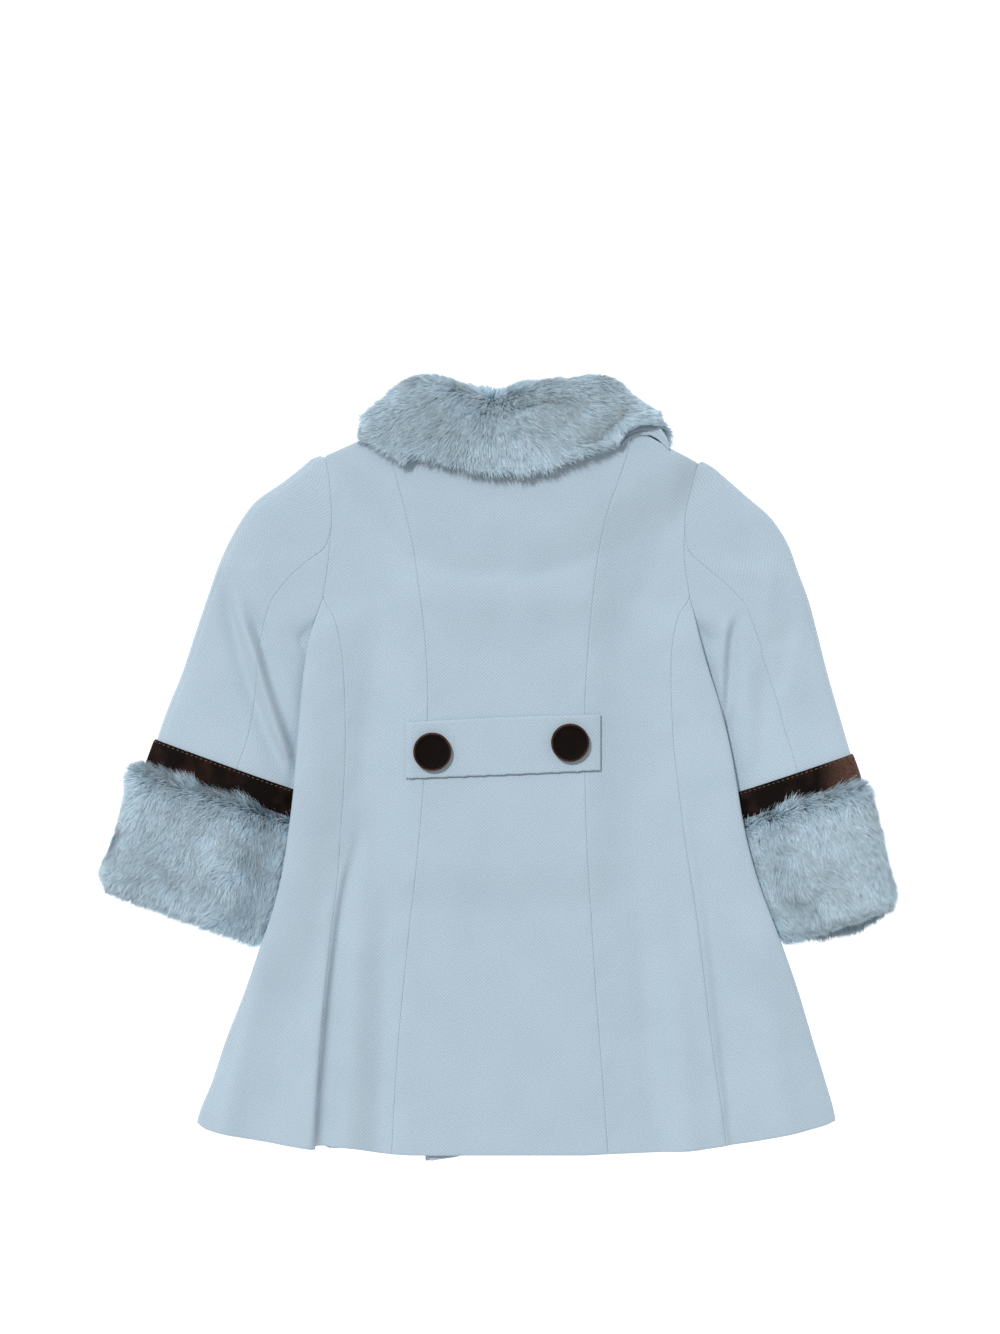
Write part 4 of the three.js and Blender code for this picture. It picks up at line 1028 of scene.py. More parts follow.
def sleeve_way(sections, part):
    """Kind (0 top, 1 fold, 2 underside), distance from the outer fold, and angle, by column."""
    width = sections["width"][:, None]
    elbow = sections["elbow"][:, None]
    seam = width - elbow
    gap = np.where(elbow > 0.01, CLOSED_SEAM / 2, 0)
    if part == "under":
        shares = shares_across(33, SLEEVE_SPACING)[None, :]
        from_outer = width - np.maximum(elbow - CLOSED_SEAM / 2, 0.05) * shares
        return np.zeros_like(from_outer), from_outer, np.zeros_like(from_outer)
    top_shares = 1 - np.concatenate([
        np.array(EDGE_STEPS) / 60, np.linspace(0.11, 0.93, 38), [0.955, 0.98, 1.0]])
    over = FOLD_RADIUS + (seam - gap - FOLD_RADIUS) * top_shares[None, :]
    angles = np.radians(FOLD_TURNS)
    round_fold = np.full((len(width), len(angles)), float(FOLD_RADIUS))
    low_shares = np.concatenate([[0, 0.02, 0.06, 0.12], np.linspace(0.2, 0.9, 10), [0.95, 0.98, 1.0]])
    below = FOLD_RADIUS + (width - FOLD_RADIUS) * low_shares[None, :]
    kinds = np.concatenate([np.zeros_like(over), np.ones_like(round_fold), np.full_like(below, 2)], 1)
    turn = np.concatenate([np.zeros_like(over), np.repeat(angles[None, :], len(width), 0),
                           np.zeros_like(below)], 1)
    return kinds, np.concatenate([over, round_fold, below], 1), turn


def rim_share(length, count, wide):
    """Rounds the shell's edges along one direction of a grid."""
    along = np.linspace(0, length, count)
    return rolled(np.minimum(along, length - along) / wide)


print("places round the fold:", len(FOLD_TURNS))

# %% [markdown]
# ## The sleeve pieces
# Both pieces of a sleeve are shells between two skins, one pushed in by the cloth's thickness. Near
# a seam both skins close in on the middle of the cloth, which makes the groove of the elbow seam.

# %% Sleeve pieces
END_STEPS = np.array([0.03, 0.08, 0.15])


def sleeve_piece(side, part, node, start):
    spread = np.linspace(start, WRIST_END, 92)
    at = np.unique(np.concatenate([spread, start + END_STEPS, [15.85, 15.93, 15.97]]))
    sections = sleeve_sections(side, at)
    kind, from_outer, angle = sleeve_way(sections, part)
    outside = sleeve_grid(sections, kind, from_outer, angle, np.zeros_like(from_outer))
    step = np.linalg.norm(np.diff(outside, axis=1), axis=2)
    run = np.concatenate([np.zeros((len(at), 1)), np.cumsum(step, axis=1)], axis=1)
    near = np.minimum(run, run[:, -1:] - run)
    thin = (1 - edge_round(near, False)) * WALL / 2
    outside = sleeve_grid(sections, kind, from_outer, angle, -thin)
    inside = sleeve_grid(sections, kind, from_outer, angle, -WALL + thin)
    travel = np.concatenate([[0], np.cumsum(np.hypot(*np.diff(sections["outer"], axis=0).T))])
    uv = np.stack([run, np.repeat(-travel[:, None], run.shape[1], 1)], -1)
    piece = shell_piece(node + "_cloth", outside, inside, uv)
    dress(piece, wool, node)
    return piece


for side in SIGNS:
    top_sleeve = sleeve_piece(side, "top", "sleeve_top_" + side, float(TIP_START))
    declare_cloth(top_sleeve, 150, 226)
    under_sleeve = sleeve_piece(side, "under", "sleeve_under_" + side, float(ELBOW_START))
    declare_cloth(under_sleeve, 52, 182)

# %% [markdown]
# ## The velvet ribbons
# A ribbon 17 mm wide goes round each sleeve just above the cuff. It is one closed loop of cross
# sections, made from the sleeve's own places moved out, so it lies on every fold of the sleeve.
# Its long edges are a little raised and wavy, as a ribbon sewn on by hand is.

# %% Ribbons
RIBBON_START, RIBBON_END, RIBBON_ROWS = 14.04, 15.97, 9


def ribbon_piece(side):
    at = np.linspace(RIBBON_START, RIBBON_END, RIBBON_ROWS)
    sections = sleeve_sections(side, at)
    loops = []
    for offset in (SEAM + RIBBON_THICKNESS, SEAM):
        kind_u, out_u, turn_u = sleeve_way(sections, "under")
        kind_t, out_t, turn_t = sleeve_way(sections, "top")
        kind = np.concatenate([kind_u[:, :-1], kind_t], 1)
        out = np.concatenate([out_u[:, :-1], out_t], 1)
        turn = np.concatenate([turn_u[:, :-1], turn_t], 1)
        wave = 0.15 * np.sin(out / 6.0) if offset > SEAM else 0
        edge = rim_share(RIBBON_WIDTH, len(at), 1.2)[:, None]
        moved = SEAM + (offset - SEAM) * (0.5 + 0.5 * edge) + wave
        grid = sleeve_grid(sections, kind, out, turn, moved)
        sideways = sections["inward"] * offset
        for column in (0, -1):
            grid[:, column, :2] += sideways
        loops.append(grid)
    run = np.cumsum(np.linalg.norm(np.diff(loops[0], axis=1, prepend=loops[0][:, :1]), axis=2), axis=1)
    uv = np.stack([run, np.repeat(np.linspace(0, RIBBON_WIDTH, len(at))[:, None], run.shape[1], 1)], -1)
    piece = shell_piece("ribbon_" + side + "_velvet", loops[0], loops[1], uv, ring=True)
    dress(piece, velvet, "ribbon_" + side)
    declare_cloth(piece, 215, RIBBON_WIDTH + 1)


ribbon_piece("left")
ribbon_piece("right")

# %% [markdown]
# ## The stitches on the ribbons
# A row of small brown stitches holds each ribbon along its upper edge. One stitch is a sliver with
# pointed ends, and all of a row are copies of it in one mesh, laid along the ribbon by arrays.

# %% Ribbon stitches
STITCH_LENGTH, STITCH_WIDTH, STITCH_STEP = 2.2, 0.34, 3.0
STITCH_AT = [14.18, 14.2]
SLIVER = np.array([
    [0, 1, 2], [0, 2, 3], [0, 3, 4], [0, 4, 1], [5, 2, 1], [5, 3, 2], [5, 4, 3], [5, 1, 4]])


def thread_material():
    material, tree = new_material("brown_sewing_thread")
    place = add_node(tree, "ShaderNodeTexCoord").outputs["Object"]
    twist = add_node(tree, "ShaderNodeTexNoise", {"Vector": place, "Scale": 2500.0})
    colour = add_node(tree, "ShaderNodeMix", {
        "Factor": twist.outputs["Fac"], "A": hex_colour("#4A3226"), "B": hex_colour("#8C6B55")},
        data_type="RGBA")
    shader = add_node(tree, "ShaderNodeBsdfPrincipled", {
        "Base Color": colour.outputs["Result"], "Roughness": 0.6, "IOR": 1.5})
    add_node(tree, "ShaderNodeOutputMaterial", {"Surface": shader.outputs[0]})
    return material


thread = thread_material()


def stitch_row(name, places, ups):
    """Slivers along a line of places, one every STITCH_STEP, lying on the surface."""
    step = np.linalg.norm(np.diff(places, axis=0), axis=1)
    run = np.concatenate([[0], np.cumsum(step)])
    starts = np.arange(1.5, run[-1] - STITCH_LENGTH - 1, STITCH_STEP)
    at = lambda s, values: np.stack([np.interp(s, run, values[:, k]) for k in range(3)], -1)
    first, last = at(starts, places), at(starts + STITCH_LENGTH, places)
    up = at(starts + STITCH_LENGTH / 2, ups)
    up /= np.linalg.norm(up, axis=1, keepdims=True)
    along = (last - first) / np.linalg.norm(last - first, axis=1, keepdims=True)
    side = np.cross(along, up) * STITCH_WIDTH
    middle = (first + last) / 2
    lift = up * STITCH_WIDTH * 0.8
    points = np.stack([first - lift * 0.6, middle + side, middle + lift, middle - side, middle - lift,
                       last - lift * 0.6], 1)
    faces = (np.arange(len(starts))[:, None, None] * 6 + SLIVER[None, :, ::-1]).reshape(-1, 3)
    row = mesh_piece(name, points.reshape(-1, 3), faces)
    dress(row, thread)
    print(name, len(starts), "stitches")


for side in SIGNS:
    sections = sleeve_sections(side, np.array(STITCH_AT))
    ways = [sleeve_way(sections, part) for part in ("under", "top")]
    kind, out, turn = (np.concatenate(columns, axis=1) for columns in zip(*ways))
    skin = sleeve_grid(sections, kind, out, turn, np.full_like(out, SEAM + RIBBON_THICKNESS + 0.1))
    inner = sleeve_grid(sections, kind, out, turn, np.full_like(out, 0.0))
    showing = kind[0] < 2
    stitch_row("ribbon_stitches_" + side, skin[0][showing], (skin - inner)[0][showing])

# %% [markdown]
# ## Strewing the roots of the fur
# The backing of fur fabric is knitted, with hairs in every loop. Here the roots are strewn over the
# grid of the backing by chance, each cell getting its share by area, so there are no rows to see.
# Everything random is seeded, so that every run grows the same fur.

# %% Roots
def grid_normals(grid, ring=False):
    if ring:
        across = np.roll(grid, -1, axis=1) - np.roll(grid, 1, axis=1)
    else:
        across = np.gradient(grid, axis=1)
    along = np.gradient(grid, axis=0)
    normal = np.cross(across, along)
    normal /= np.maximum(np.linalg.norm(normal, axis=2, keepdims=True), 1e-9)
    return normal


def strew(grid, count, weight, rng, ring=False):
    """Even random places on a grid: row and column as real numbers."""
    wide = np.concatenate([grid, grid[:, :1]], axis=1) if ring else grid
    a, b = wide[:-1, :-1], wide[:-1, 1:]
    c = wide[1:, :-1]
    area = np.linalg.norm(np.cross(b - a, c - a), axis=2)
    area = area * weight[:area.shape[0], :area.shape[1]]
    chance = area.ravel() / area.sum()
    cell = rng.choice(len(chance), size=count, p=chance)
    row = cell // area.shape[1] + rng.random(count)
    column = cell % area.shape[1] + rng.random(count)
    return row, column


def sample(grid, row, column, ring=False):
    wide = np.concatenate([grid, grid[:, :1]], axis=1) if ring else grid
    i = np.minimum(row.astype(int), wide.shape[0] - 2)
    j = np.minimum(column.astype(int), wide.shape[1] - 2)
    s = (row - i)[:, None]
    t = (column - j)[:, None]
    low = wide[i, j] * (1 - t) + wide[i, j + 1] * t
    high = wide[i + 1, j] * (1 - t) + wide[i + 1, j + 1] * t
    return low * (1 - s) + high * s


flat_grid = np.stack([*np.meshgrid(np.arange(3.0), np.arange(3.0)), np.zeros((3, 3))], -1)
print("normal of a flat grid:", grid_normals(flat_grid)[1, 1])

# %% [markdown]
# ## Tufts and whorls
# Hairs stick together in tufts and turn in slow whorls. A tuft centre lies somewhere in every
# square of a lattice, and each hair belongs to the nearest. `wander` is a smooth field by which
# neighbours turn, and are longer or paler, together.

# %% Fur fields
LATTICE = 64


def tuft_centres(points, size, rng_seed):
    """The nearest of a jittered lattice of tuft centres for each root, in the plane."""
    rng = np.random.default_rng(rng_seed)
    jitter = rng.random((LATTICE, LATTICE, 2)) * 0.9 + 0.05
    cell = np.floor(points[:, :2] / size).astype(int)
    best = np.full(len(points), np.inf)
    centre = np.zeros((len(points), 2))
    for dx in (-1, 0, 1):
        for dy in (-1, 0, 1):
            near = cell + (dx, dy)
            place = (near + jitter[near[:, 0] % LATTICE, near[:, 1] % LATTICE]) * size
            distance = ((place - points[:, :2]) ** 2).sum(1)
            closer = distance < best
            best = np.where(closer, distance, best)
            centre = np.where(closer[:, None], place, centre)
    return centre


def wander(points, size, seed):
    """A smooth random field in -1 to 1 for turning and shortening hairs."""
    rng = np.random.default_rng(seed)
    field = rng.random((LATTICE, LATTICE)) * 2 - 1
    place = points[:, :2] / size
    cell = np.floor(place).astype(int)
    part = smooth(place - cell)
    i, j = cell[:, 0] % LATTICE, cell[:, 1] % LATTICE
    i1, j1 = (i + 1) % LATTICE, (j + 1) % LATTICE
    low = field[i, j] * (1 - part[:, 0]) + field[i1, j] * part[:, 0]
    high = field[i, j1] * (1 - part[:, 0]) + field[i1, j1] * part[:, 0]
    return low * (1 - part[:, 1]) + high * part[:, 1]


sampled = wander(np.random.default_rng(1).random((1000, 3)) * 300, 12.0, 1)
print("the field runs from", round(sampled.min(), 2), "to", round(sampled.max(), 2))

# %% [markdown]
# ## Partings and patches
# Where fur is parted, the hairs fall to either side, and the hairs of a parting are darkened as
# painted shade. A spot makes the hairs paler or darker, a painted highlight or painted shade. A
# parting is a short line with a spread and a spot is round, both fading out.

# %% Partings and patches
def furrow_effect(points, furrows):
    """How near each root is to a furrow (0 to 1), and the way out of it."""
    near = np.zeros(len(points))
    away = np.zeros((len(points), 3))
    for x0, y0, x1, y1, spread in furrows:
        line = np.array([x1 - x0, y1 - y0])
        length = np.hypot(*line)
        t = np.clip(((points[:, :2] - (x0, y0)) @ line) / length ** 2, 0, 1)
        offset = points[:, :2] - ((x0, y0) + t[:, None] * line)
        distance = np.hypot(*offset.T)
        along = 0.25 + 0.75 * np.sin(math.pi * np.clip(t, 0.02, 0.98))
        share = np.exp(-((distance / spread) ** 2)) * along
        stronger = share > near
        near = np.where(stronger, share, near)
        unit = offset / np.maximum(distance, 1e-6)[:, None]
        away[:, :2] = np.where(stronger[:, None], unit, away[:, :2])
    return near, away


def painted_spot_tone(points, highlight_and_shade_spots):
    total = np.zeros(len(points))
    for x, y, radius, amount in highlight_and_shade_spots:
        total += amount * np.exp(-(((points[:, 0] - x) ** 2 + (points[:, 1] - y) ** 2) / radius ** 2))
    return total


print("a patch at its middle:", painted_spot_tone(np.zeros((1, 3)), [(0, 0, 5, 0.8)]))

# %% [markdown]
# ## One hair
# Blender has a hair system, but hairs have to be part of a mesh to be exported. So each hair is a
# narrow blade of two steps: it rises from the backing, bends over in the combed direction and ends
# in a point. Each turns a little by itself and a little with its neighbours, and tufts pull nearby
# tips together.

# %% Hairs
HAIR_WIDTH = 0.42
LOWEST_HAIR = 0.25
# degrees that a hair turns by itself, with its whorl and with the few hairs beside it
TURN_ALONE, TURN_WHORL, TURN_SMALL = 12, 26, 20
WHORL_SIZE, SMALL_SIZE, TUFT_SIZE = 12.0, 4.0, 3.4
TUFT_PULL = 0.4


def combed(roots, normals, comb, seed, rng):
    """The way in which each hair falls over, and the way across it."""
    flat = comb - normals * np.einsum("ij,ij->i", comb, normals)[:, None]
    flat /= np.maximum(np.linalg.norm(flat, axis=1, keepdims=True), 1e-9)
    side = np.cross(flat, normals)
    turn = np.radians(rng.normal(0, TURN_ALONE, len(roots))
                      + TURN_WHORL * wander(roots, WHORL_SIZE, seed + 1)
                      + TURN_SMALL * wander(roots, SMALL_SIZE, seed + 6))[:, None]
    return flat * np.cos(turn) + side * np.sin(turn), side * np.cos(turn) - flat * np.sin(turn)


def blades(roots, normals, flat, side, reach, upright, lean, seed, rng):
    """Five points a hair: two at the root, two halfway and the tip."""
    count = len(roots)
    first = np.radians(lean[0] * upright + rng.normal(0, 8, count))[:, None]
    second = np.radians(lean[1] * upright + rng.normal(0, 10, count))[:, None]
    half = (reach * 0.5)[:, None]
    middle = roots + (normals * np.cos(first) + flat * np.sin(first)) * half
    tip = middle + (normals * np.cos(second) + flat * np.sin(second)) * half
    gather = np.zeros_like(tip)
    gather[:, :2] = tuft_centres(roots, TUFT_SIZE, seed + 3) - roots[:, :2]
    gather -= normals * np.einsum("ij,ij->i", gather, normals)[:, None]
    amount = TUFT_PULL * (0.4 + 0.8 * rng.random(count))[:, None]
    tip = tip + gather * amount
    middle = middle + gather * amount * 0.35
    width = HAIR_WIDTH * (0.75 + 0.5 * rng.random(count))[:, None]
    points = np.stack([roots - side * width / 2, roots + side * width / 2,
                       middle - side * width * 0.42, middle + side * width * 0.42, tip], 1)
    points[:, :, 2] = np.maximum(points[:, :, 2], LOWEST_HAIR)
    return points


print("hairs are", HAIR_WIDTH, "mm wide, as two or three real ones that cling together")

# %% [markdown]
# ## Growing fur
# Real fur fabric is a dense field of hairs that lean the way it was combed. `fur_piece` grows one
# from the roots. `lean` holds the angles of a hair's two steps in degrees, and `clip` leaves out
# hairs that would come up where they can't. All hairs of a piece are one mesh. Each carries its own
# tone in the UV map: partly by chance and by strand, partly from spots of painted highlight and
# painted shade, and darker inside a parting, which is painted shade.

# %% Fur pieces
STRAND_TONE, STRAND_SIZE = 0.38, 1.2
HAIR_ALONG = np.array([0.02, 0.02, 0.5, 0.5, 0.98])
HAIR_PATTERN = np.array([[0, 1, 3], [0, 3, 2], [2, 3, 4]])


def fur_piece(name, roots, normals, comb, length, seed, lean, clip=None, furrows=(), highlight_and_shade_spots=(),
              stray_tufts=()):
    rng = np.random.default_rng(seed)
    count = len(roots)
    near, away = furrow_effect(roots, furrows)
    tuft_reach = np.zeros(count)
    for x, y, radius, turn_to, longer in stray_tufts:
        share = np.exp(-(((roots[:, 0] - x) ** 2 + (roots[:, 1] - y) ** 2) / radius ** 2))
        comb = comb * (1 - share[:, None]) + np.array([*turn_to, 0.0]) * share[:, None]
        tuft_reach += longer * share
    comb = comb + away * 0.3 * near[:, None]
    upright = 0.35 + 0.65 * np.clip(np.linalg.norm(comb, axis=1), 0.6, 1)
    flat, side = combed(roots, normals, comb, seed, rng)
    reach = length * (0.7 + 0.45 * rng.random(count)) * (1 + 0.12 * wander(roots, 6.0, seed + 2))
    reach *= (1 - 0.25 * near) * (1 + tuft_reach)
    points = blades(roots, normals, flat, side, reach, upright, lean, seed, rng)
    if clip is not None:
        kept = clip(points)
        points, near = points[kept], near[kept]
        count = len(points)
    tone = 0.5 + 0.2 * rng.normal(size=count) + 0.1 * wander(points[:, 4], 11.0, seed + 4)
    tone += STRAND_TONE * wander(points[:, 0], STRAND_SIZE, seed + 8)
    # Spots add painted highlights and painted shade, and a parting darkens its hairs: painted shade.
    tone = np.clip(tone + painted_spot_tone(points[:, 0], highlight_and_shade_spots) - 0.3 * near, 0.02, 0.98)
    uv = np.stack([np.repeat(tone[:, None], 5, 1), np.repeat(HAIR_ALONG[None, :], count, 0)], -1)
    faces = (np.arange(count)[:, None, None] * 5 + HAIR_PATTERN[None]).reshape(-1, 3)
    piece = mesh_piece(name, points.reshape(-1, 3), faces, uv.reshape(-1, 2))
    dress(piece, hair)
    print(name, count, "hairs,", len(faces), "triangles")
    return piece


# %% [markdown]
# ## The outlines of the cuffs
# A cuff is a band of fur fabric round the end of the sleeve. It is widest in the middle, where the
# fur isn't held down by the ribbon. The outlines include the fur.

# %% Cuff tables
# distance down the sleeve, outer edge, inner edge, height, raise of the underside
CUFF_ROWS = {
    "left": [
        [17.4, -6, 95, 19, 4], [22, -11.5, 97.5, 23.5, 1], [34, -9.5, 100, CUFF_HEIGHT, 0],
        [50, -8, 102, CUFF_HEIGHT, 0], [66, -6, 104.5, CUFF_HEIGHT, 0], [82, -7.5, 105, CUFF_HEIGHT, 0],
        [92, -4.5, 104.5, 23.5, 1], [98, 4, 100.5, 18, 4],
    ],
    "right": [
        [17.4, -1, 78.5, 19, 4], [24, -6.5, 79.5, 23.5, 1], [34, -6, 80.5, CUFF_HEIGHT, 0],
        [50, -4.5, 81.5, CUFF_HEIGHT, 0], [66, -3, 81, CUFF_HEIGHT, 0], [82, -2, 80, CUFF_HEIGHT, 0],
        [92, -1.8, 79.5, 23.5, 1], [98, 4, 77.5, 18, 4],
    ],
}
print("cuff, down the sleeve:", CUFF_ROWS["left"][-1][0] - CUFF_ROWS["left"][0][0], "mm")

# %% [markdown]
# ## The backing of the cuffs
# The backing is a thick soft ring that stays a hair's length inside the cuff's solid, flat where it
# lies on the table and thin beside the coat's side. One row of the grid is one way round the
# sleeve, over the top and back underneath.

# %% Cuff backing
CUFF_WEDGE = 8.2
CUFF_INSET = 5.5
OUTER_EDGE_MIDDLE, INNER_EDGE_MIDDLE = 6.5, 4


def cuff_backing(side, inset, rows=28, columns=72):
    """Outer grid of the cuff's backing, a closed loop in each row."""
    table = CUFF_ROWS[side]
    first, last = table[0][0] + inset * 0.2, table[-1][0] - inset
    along = np.linspace(first, last, rows)
    end = np.minimum(rolled((along - first) / 3 + 0.3), rolled((last - along) / 9 + 0.02))
    outer = curve(table, 0, 1)(along) + inset + 4 * (1 - end)
    inner = curve(table, 0, 2)(along) - inset * 0.6 - 3 * (1 - end)
    height = curve(table, 0, 3)(along) - inset - 4 * (1 - end)
    lift = curve(table, 0, 4)(along) * 0.5 + 3 * (1 - end) + 0.5
    share = np.linspace(0, 1, columns // 2, endpoint=False)
    ease = (1 - np.cos(math.pi * share)) / 2
    width = (inner - outer)[:, None]
    from_inner = width * ease[None, :]
    from_outer = width - from_inner
    wedge_top = CUFF_WEDGE - inset * 0.4
    wedge = wedge_top + (height[:, None] - wedge_top) * smooth((from_inner - 4) / 26)
    body = INNER_EDGE_MIDDLE + (wedge - INNER_EDGE_MIDDLE) * rolled(from_inner / 5)
    outer_side = OUTER_EDGE_MIDDLE + (body - OUTER_EDGE_MIDDLE) * rolled(from_outer / 13)
    z_top = np.where(from_inner < width / 2, body, outer_side)
    over = np.stack([inner[:, None] - from_inner, z_top], -1)
    near_outer = width * ease[None, :]
    near_inner = width - near_outer
    turned_up = 6 * (1 - rolled(near_outer / 10)) + 3.2 * (1 - rolled(near_inner / 10))
    z_low = lift[:, None] + np.minimum(turned_up, 6)
    low = np.stack([inner[:, None] - near_inner, z_low], -1)
    loop = np.concatenate([over, low], 1)
    wrist = WRISTS[side]
    corner, axis, inward = (np.array(wrist[key]) for key in ("corner", "along", "inward"))
    xy = corner + axis * along[:, None, None] + inward * loop[..., :1]
    return np.concatenate([xy, loop[..., 1:]], -1), along


print("backing of a cuff:", cuff_backing("left", CUFF_INSET)[0].shape[:2], "points")

# %% [markdown]
# ## Partings and painted light of the cuffs
# Worn fur is uneven: it parts here and there, and some tufts point back over the ribbon. Some spots
# are painted paler, as highlights, and some darker, as shade, most of these along the partings.
# Lists of places, each with a radius, are enough for these.

# %% Partings and painted light of the cuffs
# ends of the parting, spread
CUFF_FURROWS = {
    "left": [(-158, -38, -150, -46, 2.2), (-150, -46, -155, -54, 2), (-200, -62, -188, -70, 2)],
    "right": [(172, -76, 184, -78, 2.4), (184, -78, 190, -86, 2.4), (152, -34, 156, -44, 2)],
}
# x, y, radius, how much lighter: a painted highlight where positive, painted shade where negative
CUFF_HIGHLIGHT_AND_SHADE_SPOTS = {
    "left": [(-173, -42, 5, 0.8), (-167, -54, 5, 0.8), (-155, -62, 5, 0.6), (-135, -52, 5, 0.5),
             (-190, -92, 18, 0.3), (-160, -94, 14, 0.45), (-146, -78, 12, 0.35), (-214, -68, 7, -0.25),
             (-150, -28, 9, 0.35), (-130, -36, 9, 0.3), (-214, -16, 12, 0.2)],
    "right": [(232, -74, 10, 0.15), (178, -78, 5, -0.5), (186, -82, 4, -0.4), (170, -76, 4, -0.3),
              (196, -60, 26, -0.2), (160, -30, 9, 0.35), (184, -24, 9, 0.25), (206, -18, 9, 0.2)],
}
# x, y, radius, direction, how much longer
STRAY_TUFTS = {
    "left": [(-150, -18, 7, (0.5, 1.1), 0.5), (-184, -6, 9, (0.3, 0.9), 0.15)],
    "right": [(170, -22, 6, (-0.1, 1.1), 0.45), (150, -30, 6, (0.2, 0.9), 0.2)],
}
print("pale and dark spots:", {side: len(rows) for side, rows in CUFF_HIGHLIGHT_AND_SHADE_SPOTS.items()})

# %% [markdown]
# ## The fur of the cuffs
# The hairs are combed down the sleeve and stand out at the ends. Where the coat's side lies on the
# cuff the hairs are held down, so those that would come up through the cloth are left out.

# %% Cuffs
# the flat slot in the ring, which the end of the sleeve fills
SLOT_MIDDLE, SLOT_SHARE, SLOT_HEIGHT = 10.7, 0.82, 0.12
HAIR_LENGTH = 9.0


def cuff_pieces(side, hairs, seed):
    outside, along = cuff_backing(side, CUFF_INSET)
    centre = outside.mean(axis=1, keepdims=True)
    inside = outside.copy()
    inside[..., :2] = centre[..., :2] + (outside[..., :2] - centre[..., :2]) * SLOT_SHARE
    inside[..., 2] = SLOT_MIDDLE + (outside[..., 2] - SLOT_MIDDLE) * SLOT_HEIGHT
    columns = np.arange(outside.shape[1])
    uv = np.stack(np.meshgrid(columns * 2.9, along), -1)
    ring = shell_piece("cuff_" + side + "_backing", outside, inside, uv, ring=True)
    dress(ring, backing, "cuff_" + side)

    rng = np.random.default_rng(seed)
    normals = grid_normals(outside, ring=True)
    if normals[len(along) // 2, 12, 2] < 0:
        normals = -normals
    facing = normals[:, :, 2]
    weight = np.where(facing > -0.3, 1.0, 0.3)
    row, column = strew(outside, hairs, weight, rng, ring=True)
    roots = sample(outside, row, column, ring=True)
    lean_out = sample(normals, row, column, ring=True)
    lean_out /= np.linalg.norm(lean_out, axis=1, keepdims=True)
    wrist = WRISTS[side]
    axis = np.array([*wrist["along"], 0.0])
    inward = np.array([*wrist["inward"], 0.0])
    from_corner = (roots[:, :2] - np.array(wrist["corner"])) @ np.array(wrist["inward"])
    near_body = smooth((from_corner - CUFF_ROWS[side][0][2] + 32) / 10)[:, None]
    share = (row / (len(along) - 1))[:, None]
    start = smooth((0.2 - share) / 0.2)
    comb = axis * (1 - 0.7 * start - 1.2 * near_body * smooth((0.05 - share) / 0.04)) - inward * 0.3
    lean_out = (lean_out + axis * 0.7 * smooth((share - 0.86) / 0.14)
                - axis * (0.5 + 1.4 * near_body) * smooth((0.06 - share) / 0.06))
    lean_out /= np.linalg.norm(lean_out, axis=1, keepdims=True)
    side_at = seams["side_" + side]

    def clip(points):
        x, y, z = points[:, 4, 0], points[:, 4, 1], points[:, 4, 2]
        depth = (x - side_at(y)) if side == "left" else (side_at(y) - x)
        room = side_lift(y) - 0.4
        return (depth < -0.3) | (z < room)

    pile = fur_piece("cuff_" + side + "_fur", roots, lean_out, comb, HAIR_LENGTH, seed, lean=(46, 78),
                     clip=clip, furrows=CUFF_FURROWS[side], highlight_and_shade_spots=CUFF_HIGHLIGHT_AND_SHADE_SPOTS[side],
                     stray_tufts=STRAY_TUFTS[side])
    declare_cloth(ring, 235 if side == "left" else 190, 82)


cuff_pieces("left", 62000, 11)
cuff_pieces("right", 56000, 23)

# %% [markdown]
# ## The fringe below the right cuff
# The fur on the far side of the right cuff sticks out below its rim and lies in shade, which is
# painted into its hairs. It could be a second layer all round, but only this stretch shows, so it
# is one short row of hairs.

# %% Fringe
FRINGE_START = np.array([181.0, -100.0, 3.0])
FRINGE_END = np.array([233.0, -84.5, 3.0])


def cuff_under_fringe():
    rng = np.random.default_rng(29)
    count = 5200
    share = rng.beta(1.4, 1.6, count)[:, None]
    jitter = rng.normal(0, 1, (count, 3)) * (0.6, 1.4, 0.8)
    roots = FRINGE_START + (FRINGE_END - FRINGE_START) * share + jitter
    outward = np.array([*WRISTS["right"]["along"], 0.0])
    normals = np.repeat((outward * 0.6 + (0, 0, 0.6))[None, :], count, 0)
    normals /= np.linalg.norm(normals, axis=1, keepdims=True)
    comb = np.repeat(outward[None, :], count, 0)
    length = 3.5 + 7 * np.sin(math.pi * share[:, 0])
    # The wide spot darkens the whole fringe: painted shade.
    fur_piece("cuff_right_under_fur", roots, normals, comb, length, 29, lean=(50, 80),
              highlight_and_shade_spots=[(207, -92, 90, -0.5)])


cuff_under_fringe()

# %% [markdown]
# ## The outlines of the collar
# The collar turns down over the back of the neck. Its back leaf shows, its front leaves lie under
# the fronts. The band is the cloth that shows beside the collar's right end.

# %% Collar tables
# x, lower edge, upper edge
COLLAR_BACK_ROWS = [
    [-85.2, 199, 204.5], [-82, 197, 213], [-74, 192, 216.5], [-63, 186.2, 226.2], [-53.4, 181.2, 234.4],
    [-45, 184.6, 236.4], [-33, 182.4, 235], [-20, 178, 229.6], [-2, 175.2, 226.4], [12, 175.6, 230.6],
    [28, 178.8, 233.8], [42, 182.7, 234.6], [54, 187, 236.4], [63.6, 189.6, 235.6], [73, 191, 227.4],
    [78, 197.5, 223.4], [84, 200, 218.8], [90, 200.5, 214.8], [97.5, 198, 210],
]
